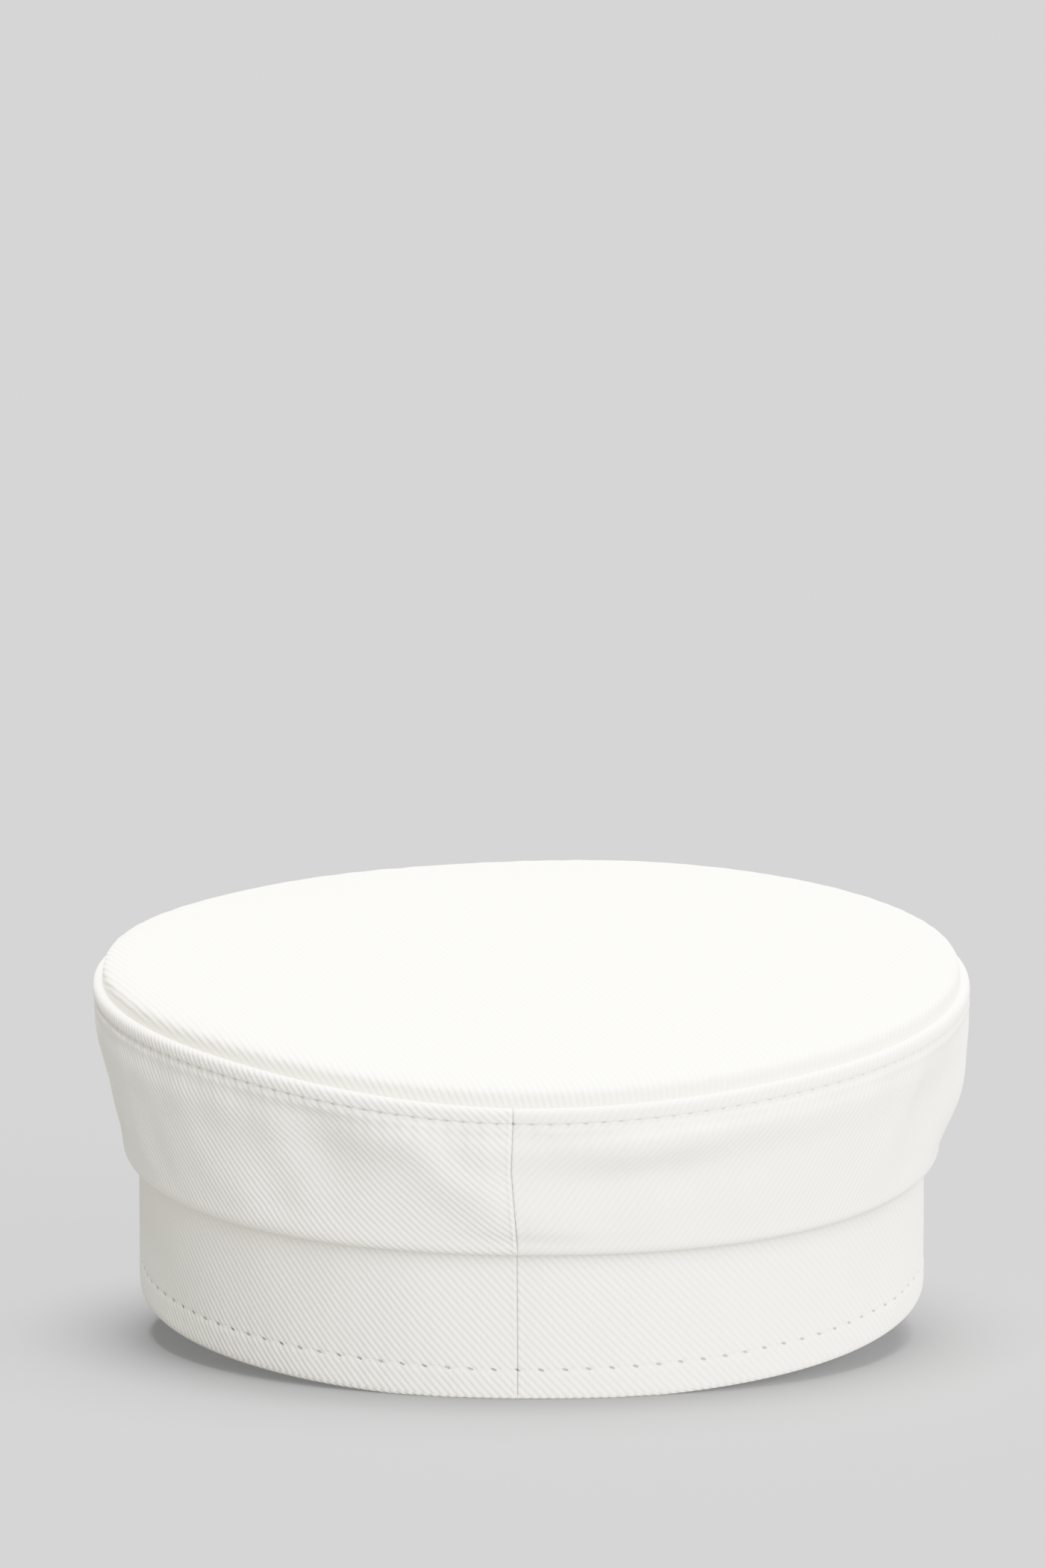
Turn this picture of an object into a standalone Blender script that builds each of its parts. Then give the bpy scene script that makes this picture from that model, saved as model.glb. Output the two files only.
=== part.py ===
"""Baker boy cap in heavy off-white cotton twill, resting on its band and its peak.

The cap is sewn from four pieces. A straight band goes round the head, a side panel leans outward above it and sags
a little over it, a round tip closes the crown inside the panel's rolled lip, and a stiff curved peak is sewn to the
lower edge of the band at the front. The cap rests as it would by itself: the back of the band and the front edge of
the peak touch the floor, so the crown is tipped up at the front.

Axes: +Y points to the front and +Z up. Metres. The origin lies on the floor, under the middle of the whole cap.
Each piece is made in the cap's own upright place, where the band's lower edge lies at height 0. They hang from one
empty, which tilts them back and sets them down.
"""

from collections import namedtuple
from math import atan2, cos, hypot, pi, radians, sin, sqrt, tau

import bmesh
import bpy
from mathutils import Vector

# Band, measured outside. The head size is about 57 cm.
HEAD_WIDTH = 0.1795
HEAD_LENGTH = 0.1910
BAND_HEIGHT = 0.0350
BAND_WALL = 0.0022
BAND_EDGE = 0.00055  # how far the band's turned edges are rounded off

# Crown, measured outside at the rolled lip along its top seam.
CROWN_WIDTH = 0.2000
CROWN_LENGTH = 0.2100
CROWN_FORWARD = 0.0039  # how far the crown's middle lies in front of the band's
PANEL_HEIGHT = 0.0326  # from the band's seam to the top of the lip, at the back
FRONT_RISE = 0.0037  # how much taller the panel is at the front
CLOTH_WALL = 0.0018
PANEL_LEAN = 1.2  # how late the panel takes up its outward lean: 1 is a quarter of a sine wave
FOLD_ROLL = 0.0024  # height over which the panel's lower fold turns under
PUFF_START = 0.55  # share of the panel's height over which it puffs out towards its topstitch
FOLD_FADE = 0.15  # share of the panel's height over which its folds fade out towards each seam

# Rolled lip along the crown's top seam.
LIP_HEIGHT = 0.0034
LIP_WIDTH = 0.0026
STITCH_DIP = 0.0006  # how far the topstitch under the lip pulls the cloth in
GROOVE_DEPTH = 0.0010  # how far the tip's seam lies below the top of the lip

# Tip of the crown.
TIP_SHOULDER = 0.0062  # how high the tip's rounded shoulder stands over its seam
TIP_SHOULDER_RUN = 0.0090  # how far in from the seam that shoulder levels out
TIP_BULGE = 0.0016  # how far the shoulder swells outward, over the lip
TIP_PILLOW = 0.0016  # how much more the tip rises towards its middle

# Peak.
PEAK_LENGTH = 0.0500
PEAK_SLOPE = 35.7  # degrees down from the plane of the band's lower edge
PEAK_SPREAD = 62.0  # degrees to each side of the front
PEAK_SQUARE = 0.85  # how square the peak's outline is: 1 is a plain wave, and less is squarer
PEAK_HINGE = 0.85  # share of its slope that the peak starts with next to the band
PEAK_END = 0.0016  # length that the peak keeps at its two ends
PEAK_WALL = 0.0030
PEAK_END_WALL = 0.0018
PEAK_EDGE = 0.0010  # how far the peak's rounded outer edge swells past its upper and lower faces

SEAM_GAP = 0.0003  # clearance between two pieces that are sewn together
FLOOR_PRESS = 0.0009  # how much the cloth is squashed where it rests

# Fineness of the meshes.
STATIONS_ROUND = 90
TUCK_STEPS = 4
FACE_STEPS = 11
LIP_STEPS = 5
INNER_STEPS = 4
TIP_RINGS = 9
TIP_CROWDING = 2.5  # how much closer together the tip's rings are at its seam: 1 is evenly spaced
PEAK_STATIONS = 31
PEAK_STEPS = 7
SHARP_EDGE = 50.0  # degrees between two faces whose shared edge isn't shaded smooth

# How the soft cap departs from a true oval, at places round it counted in degrees from the right-hand side towards
# the front. bow is a share of HEAD_WIDTH: how far band and crown bow out of their even ovals. drop, out and lift
# are shares of PANEL_HEIGHT: how far the panel's lower fold hangs below the band's seam, how far it stands off the
# band, and how far the top seam lies above its even height. So are puff, how far the panel swells out between
# PUFF_START and its topstitch, and crest, how much taller than TIP_SHOULDER the tip's shoulder is.
Place = namedtuple("Place", "angle bow drop out lift puff crest")
PLACES = (
    Place(angle=0, bow=0.000, drop=0.100, out=0.045, lift=0.045, puff=0.006, crest=0.010),
    Place(angle=45, bow=0.006, drop=0.100, out=0.040, lift=-0.020, puff=0.012, crest=0.000),
    Place(angle=90, bow=0.000, drop=0.070, out=0.040, lift=-0.025, puff=0.012, crest=-0.050),
    Place(angle=135, bow=0.006, drop=0.090, out=0.040, lift=-0.040, puff=0.012, crest=-0.025),
    Place(angle=180, bow=-0.003, drop=0.060, out=0.045, lift=0.070, puff=0.010, crest=-0.005),
    Place(angle=225, bow=-0.008, drop=0.057, out=0.085, lift=0.100, puff=0.019, crest=0.000),
    Place(angle=270, bow=-0.003, drop=0.032, out=0.058, lift=0.000, puff=0.024, crest=0.000),
    Place(angle=315, bow=0.005, drop=0.075, out=0.045, lift=0.055, puff=0.020, crest=0.000),
)

# Dents and swells of the side panel. angle is where the fold's middle lies, and height how far up the panel, as a
# share of it. long, wide and deep are shares of PANEL_HEIGHT, a negative deep being a swell. turn is the fold's
# slant in degrees, counted from level, falling to the right as seen from outside.
Fold = namedtuple("Fold", "angle height long wide turn deep")
FOLDS = (
    Fold(angle=243, height=0.65, long=0.74, wide=0.27, turn=23, deep=0.088),
    Fold(angle=267, height=0.39, long=1.18, wide=0.24, turn=34, deep=-0.065),
    Fold(angle=262, height=0.73, long=0.33, wide=0.12, turn=33, deep=0.037),
    Fold(angle=233, height=0.40, long=0.70, wide=0.22, turn=33, deep=0.028),
    Fold(angle=288, height=0.50, long=1.28, wide=0.13, turn=-2, deep=0.054),
    Fold(angle=290, height=0.82, long=1.28, wide=0.13, turn=-6, deep=-0.031),
    Fold(angle=339, height=0.55, long=0.59, wide=0.33, turn=61, deep=0.072),
    Fold(angle=356, height=0.40, long=1.00, wide=0.22, turn=0, deep=-0.060),
    Fold(angle=24, height=0.55, long=0.90, wide=0.24, turn=-25, deep=0.040),
    Fold(angle=58, height=0.45, long=0.85, wide=0.22, turn=24, deep=0.040),
    Fold(angle=92, height=0.55, long=0.70, wide=0.20, turn=-10, deep=0.030),
    Fold(angle=124, height=0.50, long=0.90, wide=0.22, turn=-28, deep=0.045),
    Fold(angle=158, height=0.45, long=0.75, wide=0.22, turn=35, deep=0.040),
    Fold(angle=192, height=0.40, long=0.63, wide=0.27, turn=70, deep=0.030),
)


def mix(low, high, share):
    """The value that lies at a share of the way from low to high."""
    return low + (high - low) * share


def ease(share):
    """A share from 0 to 1, made to start and end gently."""
    share = min(max(share, 0.0), 1.0)
    return share * share * (3.0 - 2.0 * share)


def around(column, angle):
    """A column of PLACES at any angle, read off a smooth closed curve through the table's rows."""
    step = tau / len(PLACES)
    turn = (angle % tau) / step
    row = int(turn)
    share = turn - row
    before, start, end, after = (getattr(PLACES[(row + k) % len(PLACES)], column) for k in (-1, 0, 1, 2))
    rise_start = (end - before) / 2.0
    rise_end = (after - start) / 2.0
    square, cube = share**2, share**3
    return (
        (2 * cube - 3 * square + 1) * start
        + (cube - 2 * square + share) * rise_start
        + (3 * square - 2 * cube) * end
        + (cube - square) * rise_end
    )


def oval(angle, width, length, forward=0.0, out=0.0):
    """The point at an angle on a soft oval seen from above, moved straight out from it by a distance."""
    across, along = width / 2.0, length / 2.0
    face_x, face_y = cos(angle) / across, sin(angle) / along
    away = (out + around("bow", angle) * HEAD_WIDTH) / hypot(face_x, face_y)
    return across * cos(angle) + away * face_x, along * sin(angle) + forward + away * face_y


def band_point(angle, out, height):
    """A point at a distance out from the band's outer face."""
    return (*oval(angle, HEAD_WIDTH, HEAD_LENGTH, out=out), height)


def crown_point(angle, out, height):
    """A point at a distance out from the outer edge of the rolled lip."""
    return (*oval(angle, CROWN_WIDTH, CROWN_LENGTH, CROWN_FORWARD, out), height)


def stations():
    """The angles of the sections round the cap."""
    return [tau * step / STATIONS_ROUND for step in range(STATIONS_ROUND)]


def lip_top(angle):
    """Height of the top of the rolled lip."""
    front = (1.0 + sin(angle)) / 2.0
    return BAND_HEIGHT + PANEL_HEIGHT * (1.0 + around("lift", angle)) + FRONT_RISE * front


def fold_low(angle):
    """Height of the lowest point of the panel's lower fold."""
    return BAND_HEIGHT - around("drop", angle) * PANEL_HEIGHT


def fold_out(angle):
    """How far the panel's lower fold reaches out from the band."""
    return SEAM_GAP + CLOTH_WALL + around("out", angle) * PANEL_HEIGHT


def fold_depth(angle, share):
    """How far the folds press the side panel in, at a share of its height."""
    radius = (CROWN_WIDTH + CROWN_LENGTH) / 4.0
    depth = 0.0
    for fold in FOLDS:
        away = (angle - radians(fold.angle) + pi) % tau - pi
        along = away * radius / PANEL_HEIGHT
        up = share - fold.height
        slant = radians(-fold.turn)
        lengthwise = (along * cos(slant) + up * sin(slant)) / (fold.long / 2.0)
        crosswise = (up * cos(slant) - along * sin(slant)) / fold.wide
        depth += fold.deep * PANEL_HEIGHT * 2.0 ** -(lengthwise**2 + crosswise**2)
    return depth * ease(share / FOLD_FADE) * ease((1.0 - share) / FOLD_FADE)


def puff(angle, share):
    """How far the side panel swells out under its topstitch, at a share of its height."""
    above = max(share - PUFF_START, 0.0) / (1.0 - PUFF_START)
    return around("puff", angle) * PANEL_HEIGHT * sin(pi * above) ** 2


def panel_point(angle, share, inset=0.0):
    """A point of the side panel's outer face, from its lower fold at 0 to the topstitch under the lip at 1."""
    low = fold_low(angle) + FOLD_ROLL
    high = lip_top(angle) - LIP_HEIGHT
    height = mix(low, high, share)
    lower = band_point(angle, fold_out(angle), height)
    upper = crown_point(angle, -STITCH_DIP, height)
    lean = sin(share * pi / 2.0) ** PANEL_LEAN
    swell = puff(angle, share) - fold_depth(angle, share) - inset
    push = oval(angle, HEAD_WIDTH, HEAD_LENGTH, out=1.0)
    rest = oval(angle, HEAD_WIDTH, HEAD_LENGTH)
    return (
        mix(lower[0], upper[0], lean) + swell * (push[0] - rest[0]),
        mix(lower[1], upper[1], lean) + swell * (push[1] - rest[1]),
        height,
    )


def panel_section(angle):
    """The closed outline of the side panel's wall at one angle, from the seam outward, up, over the lip and back."""
    seam_height = BAND_HEIGHT + SEAM_GAP
    seam = [band_point(angle, -BAND_WALL, seam_height)]
    tuck = []
    for step in range(TUCK_STEPS):
        turn = pi * step / TUCK_STEPS
        out = mix(SEAM_GAP, fold_out(angle), (1.0 - cos(turn)) / 2.0)
        rise = mix(seam_height - fold_low(angle), FOLD_ROLL, step / TUCK_STEPS)
        tuck.append(band_point(angle, out, fold_low(angle) + rise * (1.0 - sin(turn))))
    face = [panel_point(angle, step / FACE_STEPS) for step in range(FACE_STEPS + 1)]
    top = lip_top(angle)
    lip = []
    for step in range(LIP_STEPS + 1):
        turn = pi * step / LIP_STEPS
        reach = -LIP_WIDTH * (1.0 - cos(turn)) / 2.0
        lip.append(crown_point(angle, reach, top - LIP_WIDTH / 2.0 * (1.0 - sin(turn))))
    allowance_low = top - GROOVE_DEPTH - 2.0 * CLOTH_WALL
    allowance = [crown_point(angle, -LIP_WIDTH, allowance_low)]
    inner = []
    for step in reversed(range(INNER_STEPS)):
        x, y, height = panel_point(angle, (step + 0.5) / INNER_STEPS, inset=CLOTH_WALL)
        inner.append((x, y, min(height, allowance_low - CLOTH_WALL / 2.0)))
    return seam + tuck + face + lip + allowance + inner


def shoulder_share(reach):
    """How far over its shoulder the tip is, at a share of the way from its middle to its seam: 0 at the seam."""
    return min((1.0 - reach) * CROWN_WIDTH / 2.0 / TIP_SHOULDER_RUN, 1.0)


def tip_height(angle, reach):
    """Height of the tip's upper face, at a share of the way from its middle to its seam."""
    seam = lip_top(angle) - GROOVE_DEPTH
    even = BAND_HEIGHT + PANEL_HEIGHT + FRONT_RISE * (1.0 + sin(angle) * reach) / 2.0 - GROOVE_DEPTH
    tall = TIP_SHOULDER + around("crest", angle) * PANEL_HEIGHT * reach**3
    pillow = TIP_PILLOW * (1.0 - reach**2)
    return mix(even, seam, reach**3) + tall * sqrt(1.0 - (1.0 - shoulder_share(reach)) ** 2) + pillow


def tip_rings():
    """The tip's upper face as rings of points, from its middle out to its seam and closer together there."""
    seam_in = -(LIP_WIDTH + SEAM_GAP)
    rings = [[(0.0, CROWN_FORWARD, tip_height(0.0, 0.0))]]
    for ring in range(1, TIP_RINGS + 1):
        reach = 1.0 - (1.0 - ring / TIP_RINGS) ** TIP_CROWDING
        bulge = TIP_BULGE * sin(pi * sqrt(shoulder_share(reach))) ** 2
        points = []
        for angle in stations():
            edge_x, edge_y, _ = crown_point(angle, seam_in + bulge, 0.0)
            points.append((edge_x * reach, mix(CROWN_FORWARD, edge_y, reach), tip_height(angle, reach)))
        rings.append(points)
    return rings


def peak_section(angle):
    """The closed outline of the peak's wall at one angle, from the band along its top and back underneath."""
    end = cos(radians(PEAK_SPREAD))
    fullness = max((sin(angle) - end) / (1.0 - end), 0.0) ** PEAK_SQUARE
    length = mix(PEAK_END, PEAK_LENGTH, fullness)
    wall = mix(PEAK_END_WALL, PEAK_WALL, ease(fullness * 2.0))
    slope = radians(PEAK_SLOPE)
    upper, under = [], []
    for step in range(PEAK_STEPS + 1):
        share = step / PEAK_STEPS
        drop = length * share * sin(slope) * mix(PEAK_HINGE, 1.0, ease(share * 2.0))
        out = SEAM_GAP + length * share * cos(slope)
        upper.append(band_point(angle, out, wall - drop))
        under.append(band_point(angle, out, -drop))
    edge = band_point(angle, SEAM_GAP + length * cos(slope) + PEAK_EDGE, wall / 2.0 - length * sin(slope))
    return [*upper, edge, *reversed(under)]


def peak_angles():
    """The angles of the peak's sections, from its right-hand end to its left-hand end."""
    spread = radians(PEAK_SPREAD)
    return [pi / 2.0 + spread * (2.0 * step / (PEAK_STATIONS - 1) - 1.0) for step in range(PEAK_STATIONS)]


def rest_tilt():
    """The angle that the cap leans back by when the peak's front edge and the band's back share the floor."""
    slope = radians(PEAK_SLOPE)
    reach = SEAM_GAP + PEAK_LENGTH * cos(slope) + HEAD_LENGTH
    return atan2(PEAK_LENGTH * sin(slope), reach)


def cloth(name, colour, roughness):
    """A plain cloth finish for one piece."""
    material = bpy.data.materials.new(name)
    material.use_nodes = True
    shader = material.node_tree.nodes["Principled BSDF"]
    shader.inputs["Base Color"].default_value = (*colour, 1.0)
    shader.inputs["Roughness"].default_value = roughness
    shader.inputs["Metallic"].default_value = 0.0
    material.diffuse_color = (*colour, 1.0)
    return material


def loft(rings, looped=False, capped=False):
    """A mesh with faces between neighbouring rings of points.

    looped joins the last ring to the first one, and capped closes the first and last rings with a flat face each. A
    ring of one point is the middle of a fan.
    """
    mesh = bmesh.new()
    rows = [[mesh.verts.new(point) for point in ring] for ring in rings]
    pairs = list(zip(rows, rows[1:]))
    if looped:
        pairs.append((rows[-1], rows[0]))
    for first, second in pairs:
        for step in range(max(len(first), len(second))):
            corners = [
                first[step % len(first)],
                first[(step + 1) % len(first)],
                second[(step + 1) % len(second)],
                second[step % len(second)],
            ]
            mesh.faces.new(list(dict.fromkeys(corners)))
    if capped:
        mesh.faces.new(rows[0])
        mesh.faces.new(rows[-1])
    bmesh.ops.recalc_face_normals(mesh, faces=mesh.faces)
    return mesh


def add_piece(name, shape, material, collection, stance):
    """Makes one named piece of the cap from its shape and hangs it from the empty that tilts the cap."""
    mesh = bpy.data.meshes.new(name)
    shape.to_mesh(mesh)
    shape.free()
    mesh.materials.append(material)
    mesh.shade_smooth()
    mesh.set_sharp_from_angle(angle=radians(SHARP_EDGE))
    piece = bpy.data.objects.new(name, mesh)
    piece.parent = stance
    collection.objects.link(piece)
    return piece


def thicken(piece, wall):
    """Gives an open surface its wall, on its inner side."""
    solidify = piece.modifiers.new("wall", "SOLIDIFY")
    solidify.thickness = wall
    solidify.offset = -1.0
    solidify.use_even_offset = True


def round_edges(piece, width):
    """Rounds off the sharp edges of a piece."""
    bevel = piece.modifiers.new("edges", "BEVEL")
    bevel.width = width
    bevel.segments = 1
    bevel.limit_method = "ANGLE"
    bevel.angle_limit = radians(SHARP_EDGE)


def press_flat(piece, floor):
    """Flattens a piece where it rests on the floor."""
    flat = piece.modifiers.new("floor", "BOOLEAN")
    flat.operation = "DIFFERENCE"
    flat.solver = "EXACT"
    flat.object = floor


def new_collection(name):
    """A collection in the scene."""
    collection = bpy.data.collections.new(name)
    bpy.context.scene.collection.children.link(collection)
    return collection


def corners(pieces):
    """The lowest and highest corners of the box round some pieces, as they stand."""
    bpy.context.view_layer.update()
    shown = bpy.context.evaluated_depsgraph_get()
    points = []
    for piece in pieces:
        seen = piece.evaluated_get(shown)
        points += [seen.matrix_world @ vertex.co for vertex in seen.data.vertices]
    low = Vector([min(point[axis] for point in points) for axis in range(3)])
    high = Vector([max(point[axis] for point in points) for axis in range(3)])
    return low, high


def set_down(pieces, stance):
    """Tilts the cap to the way that it rests, centres its box on the origin and presses it onto the floor."""
    stance.rotation_euler = (rest_tilt(), 0.0, 0.0)
    low, high = corners(pieces)
    middle = (low + high) / 2.0
    stance.location = (-middle.x, -middle.y, -low.z - FLOOR_PRESS)


def add_floor(collection):
    """The block whose top is the floor, to flatten the pieces that rest on it."""
    size = 2.0 * (CROWN_LENGTH + PEAK_LENGTH)
    bpy.ops.mesh.primitive_cube_add(size=size, location=(0.0, 0.0, -size / 2.0))
    floor = bpy.context.object
    floor.name = "floor_cutter"
    floor.hide_render = True
    floor.display_type = "WIRE"
    for other in list(floor.users_collection):
        other.objects.unlink(floor)
    collection.objects.link(floor)
    return floor


def clear_scene():
    """Removes whatever the scene holds at the start."""
    for old in list(bpy.data.objects):
        bpy.data.objects.remove(old)


def build_tip(collection, stance):
    """The round top of the crown, a pillowed sheet inside the rolled lip."""
    tip = add_piece("tip", loft(tip_rings()), cloth("tip_twill", (0.84, 0.83, 0.80), 0.9), collection, stance)
    thicken(tip, CLOTH_WALL)
    return tip


def build_side_panel(collection, stance):
    """The side of the crown, with its sagging lower fold, its dents and its rolled lip."""
    shape = loft([panel_section(angle) for angle in stations()], looped=True)
    return add_piece("side_panel", shape, cloth("panel_twill", (0.82, 0.81, 0.78), 0.9), collection, stance)


def build_band(collection, stance):
    """The straight double band round the head."""
    edges = [[band_point(angle, 0.0, height) for angle in stations()] for height in (0.0, BAND_HEIGHT)]
    band = add_piece("band", loft(edges), cloth("band_twill", (0.81, 0.80, 0.77), 0.9), collection, stance)
    thicken(band, BAND_WALL)
    round_edges(band, BAND_EDGE)
    return band


def build_peak(collection, stance):
    """The stiff peak along the front of the band's lower edge."""
    shape = loft([peak_section(angle) for angle in peak_angles()], capped=True)
    return add_piece("peak", shape, cloth("peak_twill", (0.82, 0.81, 0.78), 0.88), collection, stance)


def build_cap():
    """Builds the cap's four pieces and sets them down on the floor."""
    collection = new_collection("baker_boy_cap")
    stance = bpy.data.objects.new("stance", None)
    collection.objects.link(stance)
    tip = build_tip(collection, stance)
    side_panel = build_side_panel(collection, stance)
    band = build_band(collection, stance)
    peak = build_peak(collection, stance)
    set_down([tip, side_panel, band, peak], stance)
    floor = add_floor(new_collection("cutters"))
    press_flat(band, floor)
    press_flat(peak, floor)


clear_scene()
build_cap()
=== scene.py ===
"""The looks of a baker boy cap: its twill, seams and stitches, and the plain studio that it stands in.

Lengths are in metres and angles in radians, unless a name says otherwise. The cap is worked out upright, with
the lower edge of its band at height 0 and its front towards +Y, and is then tilted and set down as its solids
are.
"""
import logging
from dataclasses import dataclass
from enum import Enum
from math import atan2, cos, pi, radians, sin, tau
from typing import Any, Mapping, NamedTuple

import bmesh
import bpy
import numpy as np
from mathutils import Matrix, Vector


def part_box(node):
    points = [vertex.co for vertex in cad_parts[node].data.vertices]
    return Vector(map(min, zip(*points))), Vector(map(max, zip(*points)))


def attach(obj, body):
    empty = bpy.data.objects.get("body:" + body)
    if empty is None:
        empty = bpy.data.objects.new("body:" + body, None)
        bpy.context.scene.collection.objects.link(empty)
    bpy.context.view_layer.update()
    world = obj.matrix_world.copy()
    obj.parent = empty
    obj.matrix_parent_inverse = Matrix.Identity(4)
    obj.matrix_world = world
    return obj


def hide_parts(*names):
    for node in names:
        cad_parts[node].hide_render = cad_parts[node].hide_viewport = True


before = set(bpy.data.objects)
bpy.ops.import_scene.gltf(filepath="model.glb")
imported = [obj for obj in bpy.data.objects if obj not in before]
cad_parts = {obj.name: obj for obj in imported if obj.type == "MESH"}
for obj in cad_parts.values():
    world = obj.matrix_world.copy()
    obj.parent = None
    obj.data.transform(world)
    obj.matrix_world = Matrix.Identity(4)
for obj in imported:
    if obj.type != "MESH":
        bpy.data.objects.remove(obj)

log = logging.getLogger("cap")
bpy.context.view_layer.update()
BODY = "root"
GRAIN_MAP = "grain"
SEWING_MAP = "sewing"
# The point attribute that holds how much shade is painted on the cloth, from 0 to 1.
PAINTED_SHADE_MARK = "crease"

Array = np.ndarray
Colour = tuple[float, float, float]


class Slot(Enum):
    """The record's material slots."""

    TIP = "tip_twill"
    PANEL = "panel_twill"
    BAND = "band_twill"
    PEAK = "peak_twill"


class Place(NamedTuple):
    """How the soft cap departs from a true oval at one place round it.

    angle is in degrees. bow is a share of the head's width, and the others are shares of the panel's height.
    """

    angle: float
    bow: float
    drop: float
    out: float
    lift: float
    puff: float
    crest: float


class Fold(NamedTuple):
    """A dent of the side panel, or a swell where deep is negative.

    angle and turn are in degrees, height is a share of the way up, and the others are shares of the panel's
    height.
    """

    angle: float
    height: float
    long: float
    wide: float
    turn: float
    deep: float


# The same places as in the part. Some of their shares are rounded results of fits to the photo.
PLACES = (
    Place(angle=0, bow=0.000, drop=0.100, out=0.045, lift=0.045, puff=0.006, crest=0.010),
    Place(angle=45, bow=0.006, drop=0.100, out=0.040, lift=-0.020, puff=0.012, crest=0.000),
    Place(angle=90, bow=0.000, drop=0.070, out=0.040, lift=-0.025, puff=0.012, crest=-0.050),
    Place(angle=135, bow=0.006, drop=0.090, out=0.040, lift=-0.040, puff=0.012, crest=-0.025),
    Place(angle=180, bow=-0.003, drop=0.060, out=0.045, lift=0.070, puff=0.010, crest=-0.005),
    Place(angle=225, bow=-0.008, drop=0.057, out=0.085, lift=0.100, puff=0.019, crest=0.000),
    Place(angle=270, bow=-0.003, drop=0.032, out=0.058, lift=0.000, puff=0.024, crest=0.000),
    Place(angle=315, bow=0.005, drop=0.075, out=0.045, lift=0.055, puff=0.020, crest=0.000),
)

# The same folds as in the part. Those that the photo shows are rounded results of a fit to its shading, and the
# swell at 356 degrees is the best of a few settings that were tried.
FOLDS = (
    Fold(angle=243, height=0.65, long=0.74, wide=0.27, turn=23, deep=0.088),
    Fold(angle=267, height=0.39, long=1.18, wide=0.24, turn=34, deep=-0.065),
    Fold(angle=262, height=0.73, long=0.33, wide=0.12, turn=33, deep=0.037),
    Fold(angle=233, height=0.40, long=0.70, wide=0.22, turn=33, deep=0.028),
    Fold(angle=288, height=0.50, long=1.28, wide=0.13, turn=-2, deep=0.054),
    Fold(angle=290, height=0.82, long=1.28, wide=0.13, turn=-6, deep=-0.031),
    Fold(angle=339, height=0.55, long=0.59, wide=0.33, turn=61, deep=0.072),
    Fold(angle=356, height=0.40, long=1.00, wide=0.22, turn=0, deep=-0.060),
    Fold(angle=24, height=0.55, long=0.90, wide=0.24, turn=-25, deep=0.040),
    Fold(angle=58, height=0.45, long=0.85, wide=0.22, turn=24, deep=0.040),
    Fold(angle=92, height=0.55, long=0.70, wide=0.20, turn=-10, deep=0.030),
    Fold(angle=124, height=0.50, long=0.90, wide=0.22, turn=-28, deep=0.045),
    Fold(angle=158, height=0.45, long=0.75, wide=0.22, turn=35, deep=0.040),
    Fold(angle=192, height=0.40, long=0.63, wide=0.27, turn=70, deep=0.030),
)


def mix(low: Any, high: Any, share: Any) -> Any:
    """The value that lies at a share of the way from low to high."""
    return low + (high - low) * share


def ease(share: Any) -> Any:
    """A share from 0 to 1, made to start and end gently."""
    share = np.clip(share, 0.0, 1.0)
    return share * share * (3.0 - 2.0 * share)


def bell(distance: Any, width: float) -> Any:
    """A smooth bump of height 1 at distance 0, which falls to about a third at its width."""
    return np.exp(-((distance / width) ** 2))


def unit(vectors: Array) -> Array:
    """The same directions with length 1."""
    return vectors / np.maximum(np.linalg.norm(vectors, axis=-1, keepdims=True), 1e-12)


def spread(count: int, span: float, places: tuple[tuple[float, float, float], ...]) -> Array:
    """Positions along a line, closer together at chosen places.

    Args:
        count: How many steps there are.
        span: The line's length.
        places: For each place its position, its width and how much denser the positions are there.

    Returns:
        count + 1 positions from 0 to span.
    """
    fine = np.linspace(0.0, span, 8001)
    density = 1.0 + sum(gain * bell(fine - at, width) for at, width, gain in places)
    total = np.concatenate([[0.0], np.cumsum((density[1:] + density[:-1]) / 2.0)])
    return np.interp(np.linspace(0.0, total[-1], count + 1), total, fine)


def surface_normals(points: Array, looped_rows: bool) -> Array:
    """Outward normals of a grid whose columns close round the cap.

    Args:
        points: The grid, as rows, columns and coordinates.
        looped_rows: Whether the last row joins the first.

    Returns:
        A unit vector for each point.
    """
    right = np.roll(points, -1, axis=1) - np.roll(points, 1, axis=1)
    if looped_rows:
        up = np.roll(points, -1, axis=0) - np.roll(points, 1, axis=0)
    else:
        up = np.gradient(points, axis=0)
    return unit(np.cross(right, up))


def walked(points: Array) -> Array:
    """How far each point of a grid lies along its column from the first row."""
    steps = np.linalg.norm(np.diff(points, axis=0), axis=-1)
    return np.concatenate([np.zeros((1, points.shape[1])), np.cumsum(steps, axis=0)])


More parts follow.
